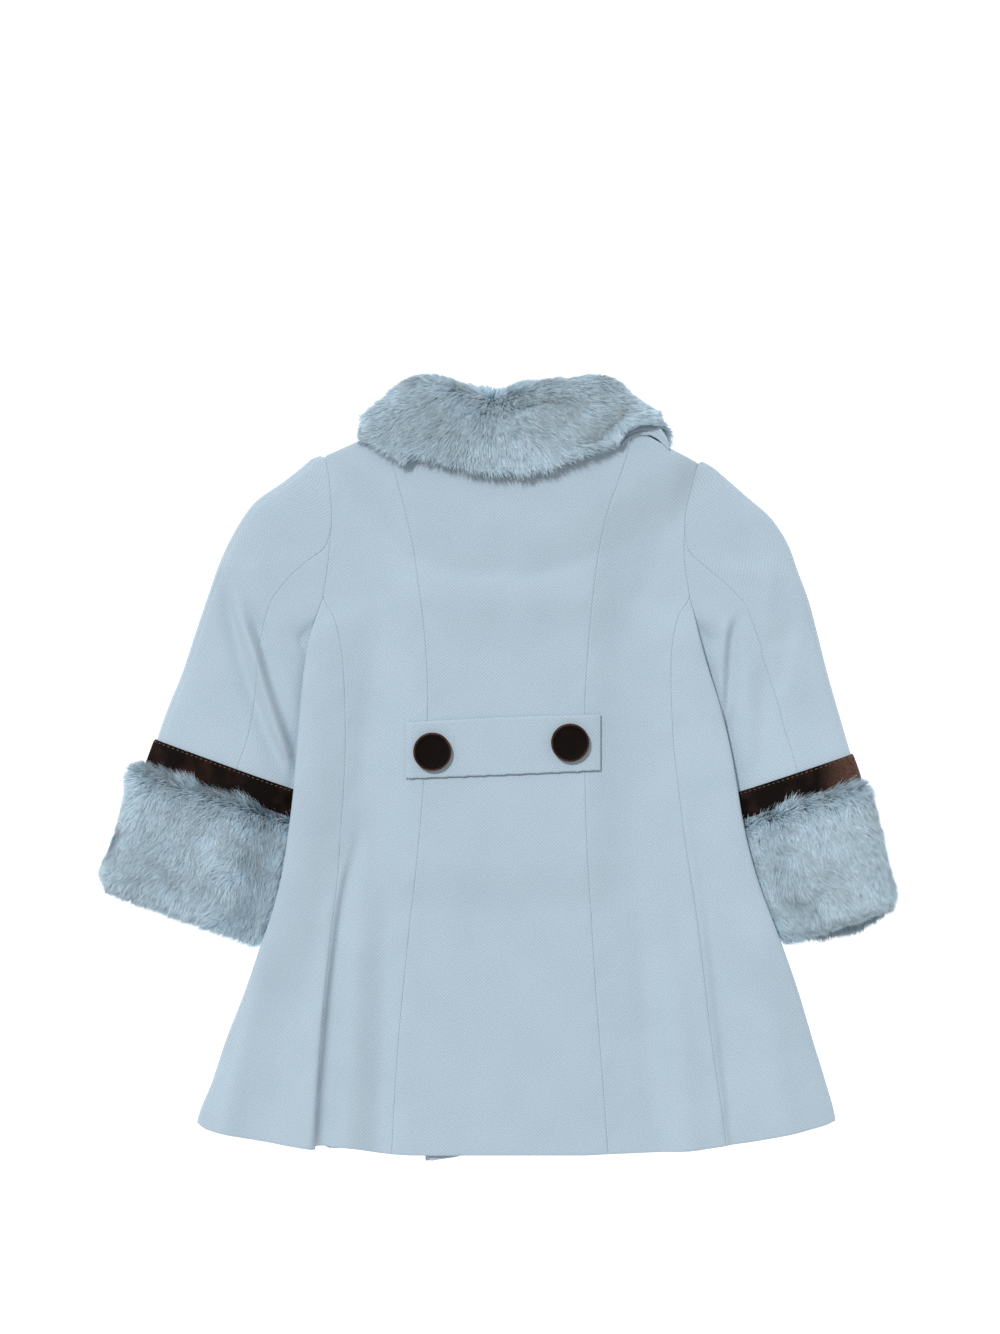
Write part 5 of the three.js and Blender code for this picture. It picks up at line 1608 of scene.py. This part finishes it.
# x and y along the foot and along the upper edge of the band
BAND_FOOT = [[72.5, 192.4], [76, 195], [79.2, 197], [84, 198.4], [88.8, 198.6], [93, 197],
             [97, 193.8], [101.5, 189.4]]
BAND_CREST = [[72.5, 195], [76, 199.6], [79.2, 202.6], [84, 205], [89.4, 205.6], [94.8, 203.6],
              [98.4, 199.4], [101.5, 193]]
collar_lower = curve(COLLAR_BACK_ROWS, 0, 1)
collar_upper = curve(COLLAR_BACK_ROWS, 0, 2)
lowest, highest = min(row[1] for row in COLLAR_BACK_ROWS), max(row[2] for row in COLLAR_BACK_ROWS)
print("collar's back leaf from y =", lowest, "to", highest, "mm")

# %% [markdown]
# ## The lie of the collar
# A leaf is thick in the middle and thin round its rim, so it is an over and an under surface that
# meet at the outline. The back leaf rests on the back of the coat, and beyond the neck it turns
# down towards the table. Its lower edge is lifted a little and throws the shadow on the back.

# %% Collar backing
STACK_AT_NECK = 16.9
ROLL_UNDERSIDE = 10.2
COLLAR_SEAT = 0.8
EDGE_LIFT = 3.2
COLLAR_INSET = 4.5


def collar_back_heights(x, y, inset):
    beyond = smooth((y - top_line(x) - 3) / 14)
    seat = back_top(x, np.minimum(y, top_line(x) - 1)) + COLLAR_SEAT
    low = seat + (ROLL_UNDERSIDE - seat) * beyond
    low = low + EDGE_LIFT * smooth((collar_lower(x) + 14 - y) / 12) * smooth((70 - x) / 12)
    ends = COLLAR_BACK_ROWS[0][0] + inset, COLLAR_BACK_ROWS[-1][0] - inset
    around = np.minimum(
        np.minimum(rolled((y - collar_lower(x) - inset * 0.7) / 14),
                   rolled((collar_upper(x) - inset - y) / 18)),
        np.minimum(rolled((x - ends[0]) / 16), rolled((ends[1] - x) / 16)))
    crest = STACK_AT_NECK + SEAM + COLLAR_PILE - inset
    return low, low + 1.5 + (crest - low - 1.5) * around


def leaf_backing(first, last, lower, upper, heights, inset, rows=26, columns=64):
    x = np.linspace(first + inset, last - inset, columns)[None, :]
    share = (1 - np.cos(np.linspace(0, math.pi, rows)))[:, None] / 2
    low, high = lower(x) + inset * 0.7, upper(x) - inset
    middle = (low + high) / 2
    high = np.maximum(high, middle + 0.5)
    low = np.minimum(low, middle - 0.5)
    y = low + (high - low) * share
    x = np.repeat(x, rows, 0)
    under, over = heights(x, y)
    return np.stack([x, y, over], -1), np.stack([x, y, under], -1)


leaf_low, leaf_high = collar_back_heights(np.array(0.0), np.array(205.0), COLLAR_INSET)
print("backing in the middle of the back leaf:", round(float(leaf_high - leaf_low), 1), "mm thick")

# %% [markdown]
# ## Combing the collar
# The hairs of the back leaf are combed sideways from the middle and down towards the lower edge,
# and stand up along the fold at the neck. Two lists hold the partings, of which the strongest runs
# up to the right, and the spots of painted shade, most of them along the partings, and of painted
# highlight.

# %% Comb of the collar
def collar_comb(points):
    x, y = points[:, 0], points[:, 1]
    side = smooth((40 - x) / 90) * 2 - 1
    down = 0.5 + 0.8 * np.exp(-((x - 2) / 42) ** 2) * smooth((208 - y) / 22)
    down = down - 0.7 * smooth((x - 68) / 10)
    up = smooth((y - collar_upper(x) + 10) / 7)
    return np.stack([-side * 0.9, -down * (1 - up) + 0.7 * up, np.zeros_like(x)], -1)


# ends of the parting, spread
COLLAR_FURROWS = [(48, 194, 60, 199, 3.2), (56, 198, 66, 210, 3.0), (64, 207, 74, 217, 2.6),
                  (4, 214, 22, 217, 3.2), (20, 217, 40, 219, 3.0), (-30, 188, -20, 183, 1.8)]
# x, y, radius, how much lighter: a painted highlight where positive, painted shade where negative
COLLAR_HIGHLIGHT_AND_SHADE_SPOTS = [(48, 197, 5, -0.5), (55, 202, 5, -0.5), (61, 208, 5, -0.55), (68, 215, 5, -0.4),
                  (26, 214, 9, -0.35), (38, 216, 9, -0.3), (60, 221, 8, -0.25), (-28, 226, 9, 0.35),
                  (0, 222, 9, 0.3), (-18, 214, 8, 0.2), (-72, 204, 14, 0.12), (84, 210, 12, 0.15),
                  (72, 196, 8, 0.35), (40, 186, 12, 0.1), (-2, 184, 12, -0.1), (-34, 208, 10, -0.1)]
print("partings:", len(COLLAR_FURROWS), "spots:", len(COLLAR_HIGHLIGHT_AND_SHADE_SPOTS))

# %% [markdown]
# ## The back leaf of the collar
# Along its outline the hairs lean outwards and hide the backing. Beside the right end they are held
# back, and those that would cover the band of cloth are left out.

# %% Back leaf
def collar_back_pieces():
    heights = lambda x, y: collar_back_heights(x, y, COLLAR_INSET)
    ends = COLLAR_BACK_ROWS[0][0], COLLAR_BACK_ROWS[-1][0]
    face, lining = leaf_backing(*ends, collar_lower, collar_upper, heights, COLLAR_INSET)
    leaf = shell_piece("collar_back_backing", face, lining, face[..., :2])
    dress(leaf, backing, "collar_back")
    rng = np.random.default_rng(41)
    normals = grid_normals(face)
    row, column = strew(face, 60000, np.ones(face.shape[:2]), rng)
    roots = sample(face, row, column)
    lean_out = sample(normals, row, column)
    low_edge = smooth(1 - row / 2.5)[:, None]
    high_edge = smooth(1 - (face.shape[0] - 1 - row) / 3)[:, None]
    left_share = smooth(1 - column / 3)[:, None]
    right_share = smooth(1 - (face.shape[1] - 1 - column) / 3)[:, None]
    downwards = (0.9 - 0.9 * smooth((roots[:, 0] - 70) / 8))[:, None]
    lean_out = lean_out + low_edge * downwards * (0, -1, -0.1) + high_edge * (0, 0.9, 0)
    lean_out = lean_out + left_share * (-0.9, 0, 0) + right_share * (0.6, 0, 0)
    lean_out /= np.linalg.norm(lean_out, axis=1, keepdims=True)

    def clip(points):
        x, y = points[:, 2:, 0], points[:, 2:, 1]
        on_band = (x > BAND_CREST[0][0]) & (x < BAND_CREST[-1][0]) & (y < curve(BAND_CREST)(x) - 1.4)
        return ~on_band.any(axis=1)

    pile = fur_piece("collar_back_fur", roots, lean_out, collar_comb(roots), HAIR_LENGTH, 41,
                     lean=(44, 76), clip=clip, furrows=COLLAR_FURROWS, highlight_and_shade_spots=COLLAR_HIGHLIGHT_AND_SHADE_SPOTS)
    declare_cloth(leaf, 182, 62)


collar_back_pieces()

# %% [markdown]
# ## The front leaves of the collar
# The front leaves lie face down below the fronts, pressed flat by the coat, so their hairs are
# shorter and lean further. A second set of hairs grows where a leaf reaches past the neck's edge.

# %% Front leaves
FRONT_LEAF_INSET = 3.5


def collar_front_heights(x, y, first, last, inset):
    around = np.minimum(
        np.minimum(rolled((y - leaf_edge(x) - inset * 0.7) / 12), rolled((leaf_top(x) - inset - y) / 12)),
        np.minimum(rolled((x - first - inset) / 12), rolled((last - inset - x) / 12)))
    under = 3.6 - 2.4 * around
    return under, under + 1.2 + (FUR_LAID - 2.2 - under - 1.2) * around


def outward_from(points, grid):
    outward = points - grid.reshape(-1, 3).mean(0)
    outward[:, 2] = 0
    return outward / np.linalg.norm(outward, axis=1, keepdims=True)


def collar_front_pieces(side, first, last, hairs, seed):
    inset = FRONT_LEAF_INSET
    heights = lambda x, y: collar_front_heights(x, y, first, last, inset)
    over, under = leaf_backing(first, last, leaf_edge, leaf_top, heights, inset, rows=16, columns=36)
    leaf = shell_piece("collar_front_" + side + "_backing", over, under, over[..., :2])
    dress(leaf, backing, "collar_front_" + side)
    rng = np.random.default_rng(seed)
    normals = -grid_normals(under)
    row, column = strew(under, hairs, np.ones(under.shape[:2]), rng)
    roots = sample(under, row, column)
    rows, columns = under.shape[:2]
    edge = np.minimum(np.minimum(row, rows - 1 - row) * 0.6, np.minimum(column, columns - 1 - column))
    lean_out = sample(normals, row, column)
    lean_out = lean_out + outward_from(roots, under) * (1.6 * smooth(1 - edge / 2.5))[:, None]
    lean_out /= np.linalg.norm(lean_out, axis=1, keepdims=True)
    sign = SIGNS[side]
    comb = np.stack([np.full(hairs, 0.5 * sign), np.full(hairs, -1.0), np.zeros(hairs)], -1)
    pile = fur_piece("collar_front_" + side + "_fur", roots, lean_out, comb, 6.0, seed, lean=(60, 84))
    beyond = smooth((over[..., 1] - top_line(over[..., 0])) / 3)
    row, column = strew(over, hairs, beyond + 1e-6, rng)
    roots = sample(over, row, column)
    lean_out = sample(grid_normals(over), row, column) + outward_from(roots, over) * 0.8
    lean_out /= np.linalg.norm(lean_out, axis=1, keepdims=True)
    comb = outward_from(roots, over) * 0.8 + (0, -0.5, 0)
    rim = fur_piece("collar_front_" + side + "_rim_fur", roots, lean_out, comb, 7.5, seed + 5,
                    lean=(40, 70))
    declare_cloth(leaf, last - first, 82)


collar_front_pieces("left", -84.5, 1.6, 8000, 57)
collar_front_pieces("right", 2.4, 103.2, 9000, 63)

# %% [markdown]
# ## The neck band at the right shoulder
# Where the collar ends at the right shoulder, the cloth band that it is sewn to can be seen: a
# narrow arch with one seam along its foot and a second one along its middle. It is a small shell
# of the coat's cloth, with a groove pressed along the middle.

# %% Neck band
BAND_SHARES = [0, 0.04, 0.1, 0.2, 0.3, 0.38, 0.43, 0.47, 0.5, 0.53, 0.57, 0.62, 0.72, 0.84, 0.93, 1]


def neck_band():
    shares = np.array(BAND_SHARES)
    x = np.repeat(np.linspace(72.5, 101.5, 60)[None, :], len(shares), 0)
    foot, crest = curve(BAND_FOOT)(x), curve(BAND_CREST)(x)
    y = foot + (crest - foot) * shares[:, None]
    seat = back_lie(x, np.minimum(y, top_line(x) - 9))
    groove = 0.7 * np.exp(-(((y - foot - 2.6) / 0.4) ** 2))
    rim = rolled(np.minimum(y - foot, crest - y) / 1.1)
    over = seat + 0.1 + 0.6 * rim - groove
    under = np.minimum(seat - 0.6, over - 0.5)
    band = shell_piece("neck_band_cloth", np.stack([x, y, over], -1), np.stack([x, y, under], -1),
                       np.stack([x, y], -1))
    dress(band, wool)
    declare_cloth(band, 30, 12)


neck_band()

# %% [markdown]
# ## The half belt
# The belt is a strip of the coating across the waist, sewn into the seams at its ends, with its
# edges turned in, so it is thicker and rounder at the rim than the panels. It lies on the back.

# %% Half belt
BELT = {
    "left": -56.4,
    "right": 60.2,
    "top": [[-57.2, 26.7], [0, 29.8], [60, 31.5]],
    "bottom": [[-57.2, -6.8], [4, -4.4], [60.6, -1.8]],
}
belt_top_line = curve(BELT["top"])
belt_bottom_line = curve(BELT["bottom"])


def belt_top(x, y):
    return back_top(x, y) + SEAM + 0.2 + BELT_THICKNESS


def belt_piece():
    length = BELT["right"] - BELT["left"]
    across = shares_across(length, 3.0)
    steps = np.array(EDGE_STEPS) / 34
    up = np.concatenate([steps, np.linspace(steps[-1], 1 - steps[-1], 9)[1:-1], 1 - steps[::-1]])
    x = np.repeat((BELT["left"] + length * across)[None, :], len(up), 0)
    low, high = belt_bottom_line(x), belt_top_line(x)
    fray = 0.3 * np.sin(x * 2.4) * np.sin(x * 0.83 + 1)
    y = low + (high - low) * up[:, None] + fray * smooth(1 - up[:, None] * 12)
    thickness, near = edge_thickness(x, y)
    thickness = thickness * BELT_THICKNESS / WALL
    rim = 0.25 * np.exp(-((near - 4) / 2.5) ** 2)
    middle = belt_top(x, y) - BELT_THICKNESS / 2
    face = np.stack([x, y, middle + thickness / 2 + rim], -1)
    lining = np.stack([x, y, middle - thickness / 2], -1)
    uv = np.stack([x, y], -1)
    belt = shell_piece("half_belt_cloth", face, lining, uv)
    dress(belt, wool, "half_belt")
    declare_cloth(belt, 118, 35)


belt_piece()

# %% [markdown]
# ## Covered buttons
# A covered button is a shallow metal shell with velvet drawn over it and tucked in behind, so its
# top is nearly flat and its rim round. It starts as a cylinder. Its top face is inset again and
# again with a little rise each time, which crowns it, and a bevel rounds the rim.

# %% Button shape
# inset of each ring of the top from the one before, and its rise as a share of the height
CROWN = [(0.45, 0.2), (0.6, 0.13), (0.7, 0.02), (0.6, -0.1), (0.9, -0.08), (2.4, 0.0)]


def select_faces(mesh, test):
    for polygon in mesh.polygons:
        polygon.select = test(polygon)


def crowned_disc(name, height):
    bpy.ops.mesh.primitive_cylinder_add(vertices=64, radius=BUTTON_RADIUS * MM, depth=height * 0.72 * MM,
                                        location=(0, 0, height * 0.36 * MM))
    button = bpy.context.object
    button.name = name
    button.data.name = name
    bpy.ops.object.transform_apply(location=True)
    bpy.ops.object.mode_set(mode="EDIT")
    bpy.ops.mesh.select_all(action="DESELECT")
    bpy.ops.mesh.select_mode(type="FACE")
    bpy.ops.object.mode_set(mode="OBJECT")
    select_faces(button.data, lambda face: face.normal.z > 0.9)
    bpy.ops.object.mode_set(mode="EDIT")
    for inset, rise in CROWN:
        bpy.ops.mesh.inset(thickness=inset * MM, depth=rise * height * 0.5 * MM)
    bpy.ops.mesh.poke()
    bpy.ops.object.mode_set(mode="OBJECT")
    select_faces(button.data, lambda face: face.normal.z < -0.9)
    bpy.ops.object.mode_set(mode="EDIT")
    bpy.ops.mesh.inset(thickness=0.8 * MM, depth=0.0)
    bpy.ops.transform.translate(value=(0, 0, -0.02 * MM))
    bpy.ops.object.mode_set(mode="OBJECT")
    bevel = button.modifiers.new("rim", "BEVEL")
    bevel.width = min(0.9, height * 0.2) * MM
    bevel.segments = 3
    bevel.limit_method = "ANGLE"
    bevel.angle_limit = math.radians(50)
    bpy.ops.object.modifier_apply(modifier="rim")
    return button


print("a button is", 2 * BUTTON_RADIUS, "mm wide, crowned in", len(CROWN), "rings")

# %% [markdown]
# ## Covering a button
# The disc is stretched to its exact height and put in its place. The buttons of the front lie face
# down, so their mesh is turned over. Along the rim the sloping faces take the paler velvet, a
# painted sheen.

# %% Button cover
# How far in from the edge the painted sheen on the rim reaches.
SHEEN_RIM = 0.8


def covered_button(name, node, centre, base, height, down=False):
    button = crowned_disc(name, height)
    points = np.empty(len(button.data.vertices) * 3)
    button.data.vertices.foreach_get("co", points)
    points = points.reshape(-1, 3) / MM
    top = points[:, 2].max()
    points[:, 2] = (points[:, 2] - points[:, 2].min()) * height / (top - points[:, 2].min())
    if down:
        points[:, 2] = height - points[:, 2]
        button.data.flip_normals()
    points += (centre[0], centre[1], base)
    button.data.vertices.foreach_set("co", (points * MM).astype(np.float32).ravel())
    button.data.update()
    bpy.ops.object.shade_smooth_by_angle(angle=math.radians(40))
    dress(button, button_velvet, node)
    button.data.materials.append(rim_sheen_velvet)
    # Sloping faces near the rim take the paler velvet: painted sheen.
    for polygon in button.data.polygons:
        reach = math.hypot(polygon.center.x / MM - centre[0], polygon.center.y / MM - centre[1])
        if abs(polygon.normal.z) < 0.93 and reach > BUTTON_RADIUS - SHEEN_RIM:
            polygon.material_index = 1
    bpy.ops.object.select_all(action="DESELECT")
    print(name, len(button.data.polygons), "faces")


# %% [markdown]
# ## Sewing on the buttons
# Two buttons sit on the ends of the half belt. The six of the front can't be seen: two rows of
# three, as on most double-breasted coats, face down between the front and the table.

# %% Buttons
for side, centre in {"left": (-40.5, 9.4), "right": (41.9, 14.8)}.items():
    node = "belt_button_" + side
    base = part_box(node)[0][2] / MM
    covered_button(node + "_velvet", node, centre, base, BELT_BUTTON_HEIGHT)
for column, x in {"inner": -26, "outer": 31}.items():
    for i, y in enumerate([80, 25, -30]):
        node = f"front_button_{column}_{i + 1}"
        covered_button(node + "_velvet", node, (x, y), 0.05, FRONT_BUTTON_HEIGHT - 0.1, down=True)

# %% [markdown]
# ## Floor and light
# The coat was photographed from straight above on plain white under soft light from the upper left,
# which leaves thin shadows below the collar and the belt and darkens the right side of each fold.
# One large far lamp there makes them and the bright room keeps them light. A white floor lies
# underneath, and it glows by itself: painted light that whitens the shadows on it and lights the
# coat a little from below.

# %% Stage
def glowing_white_floor():
    material, tree = new_material("glowing_white_floor")
    # The emission makes the floor glow: painted light that fills the shadows on it.
    shader = add_node(tree, "ShaderNodeBsdfPrincipled", {
        "Base Color": hex_colour("#F7F7F7"), "Roughness": 0.9,
        "Emission Color": hex_colour("#FFFFFF"), "Emission Strength": 0.8,
    })
    add_node(tree, "ShaderNodeOutputMaterial", {"Surface": shader.outputs[0]})
    return material


bpy.ops.mesh.primitive_plane_add(size=8, location=(0, 0, -0.0006))
floor = bpy.context.object
floor.name = "floor"
floor.data.materials.append(glowing_white_floor())
print("floor below the coat by 0.6 mm")


def soft_sun(name, towards, angle, strength):
    """A large far lamp: towards points from the coat to the lamp, angle is its apparent size."""
    bpy.ops.object.light_add(type="SUN", location=towards)
    lamp = bpy.context.object
    lamp.name = name
    lamp.data.angle = math.radians(angle)
    lamp.data.energy = strength
    lamp.rotation_euler = Vector(towards).to_track_quat("Z", "Y").to_euler()
    print(name, "strength", strength)


soft_sun("soft_window_light", (-0.6, 0.85, 1.7), 7, 2.08)

world = bpy.data.worlds.new("studio")
world.use_nodes = True
room = world.node_tree.nodes["Background"]
room.inputs["Color"].default_value = (1, 1, 1, 1)
room.inputs["Strength"].default_value = 0.52
bpy.context.scene.world = world
bpy.context.scene.view_settings.view_transform = "Standard"

# %% [markdown]
# ## Camera
# The coat is seen from straight above, in a picture that takes in 0.8 m from top to bottom. The
# lens is long, so the raised parts of the coat aren't drawn out of place, and the camera is as far
# away as that lens needs.

# %% Camera
VIEW_HEIGHT = 0.8
LENS = 85
SENSOR = 36
camera_data = bpy.data.cameras.new("camera")
camera_data.sensor_fit = "VERTICAL"
camera_data.sensor_height = SENSOR
camera_data.lens = LENS
camera = bpy.data.objects.new("camera", camera_data)
bpy.context.collection.objects.link(camera)
camera.location = (0.0, 0.06, 0.012 + VIEW_HEIGHT * LENS / SENSOR)
bpy.context.scene.camera = camera
print("camera", round(camera.location.z, 2), "m above the floor")
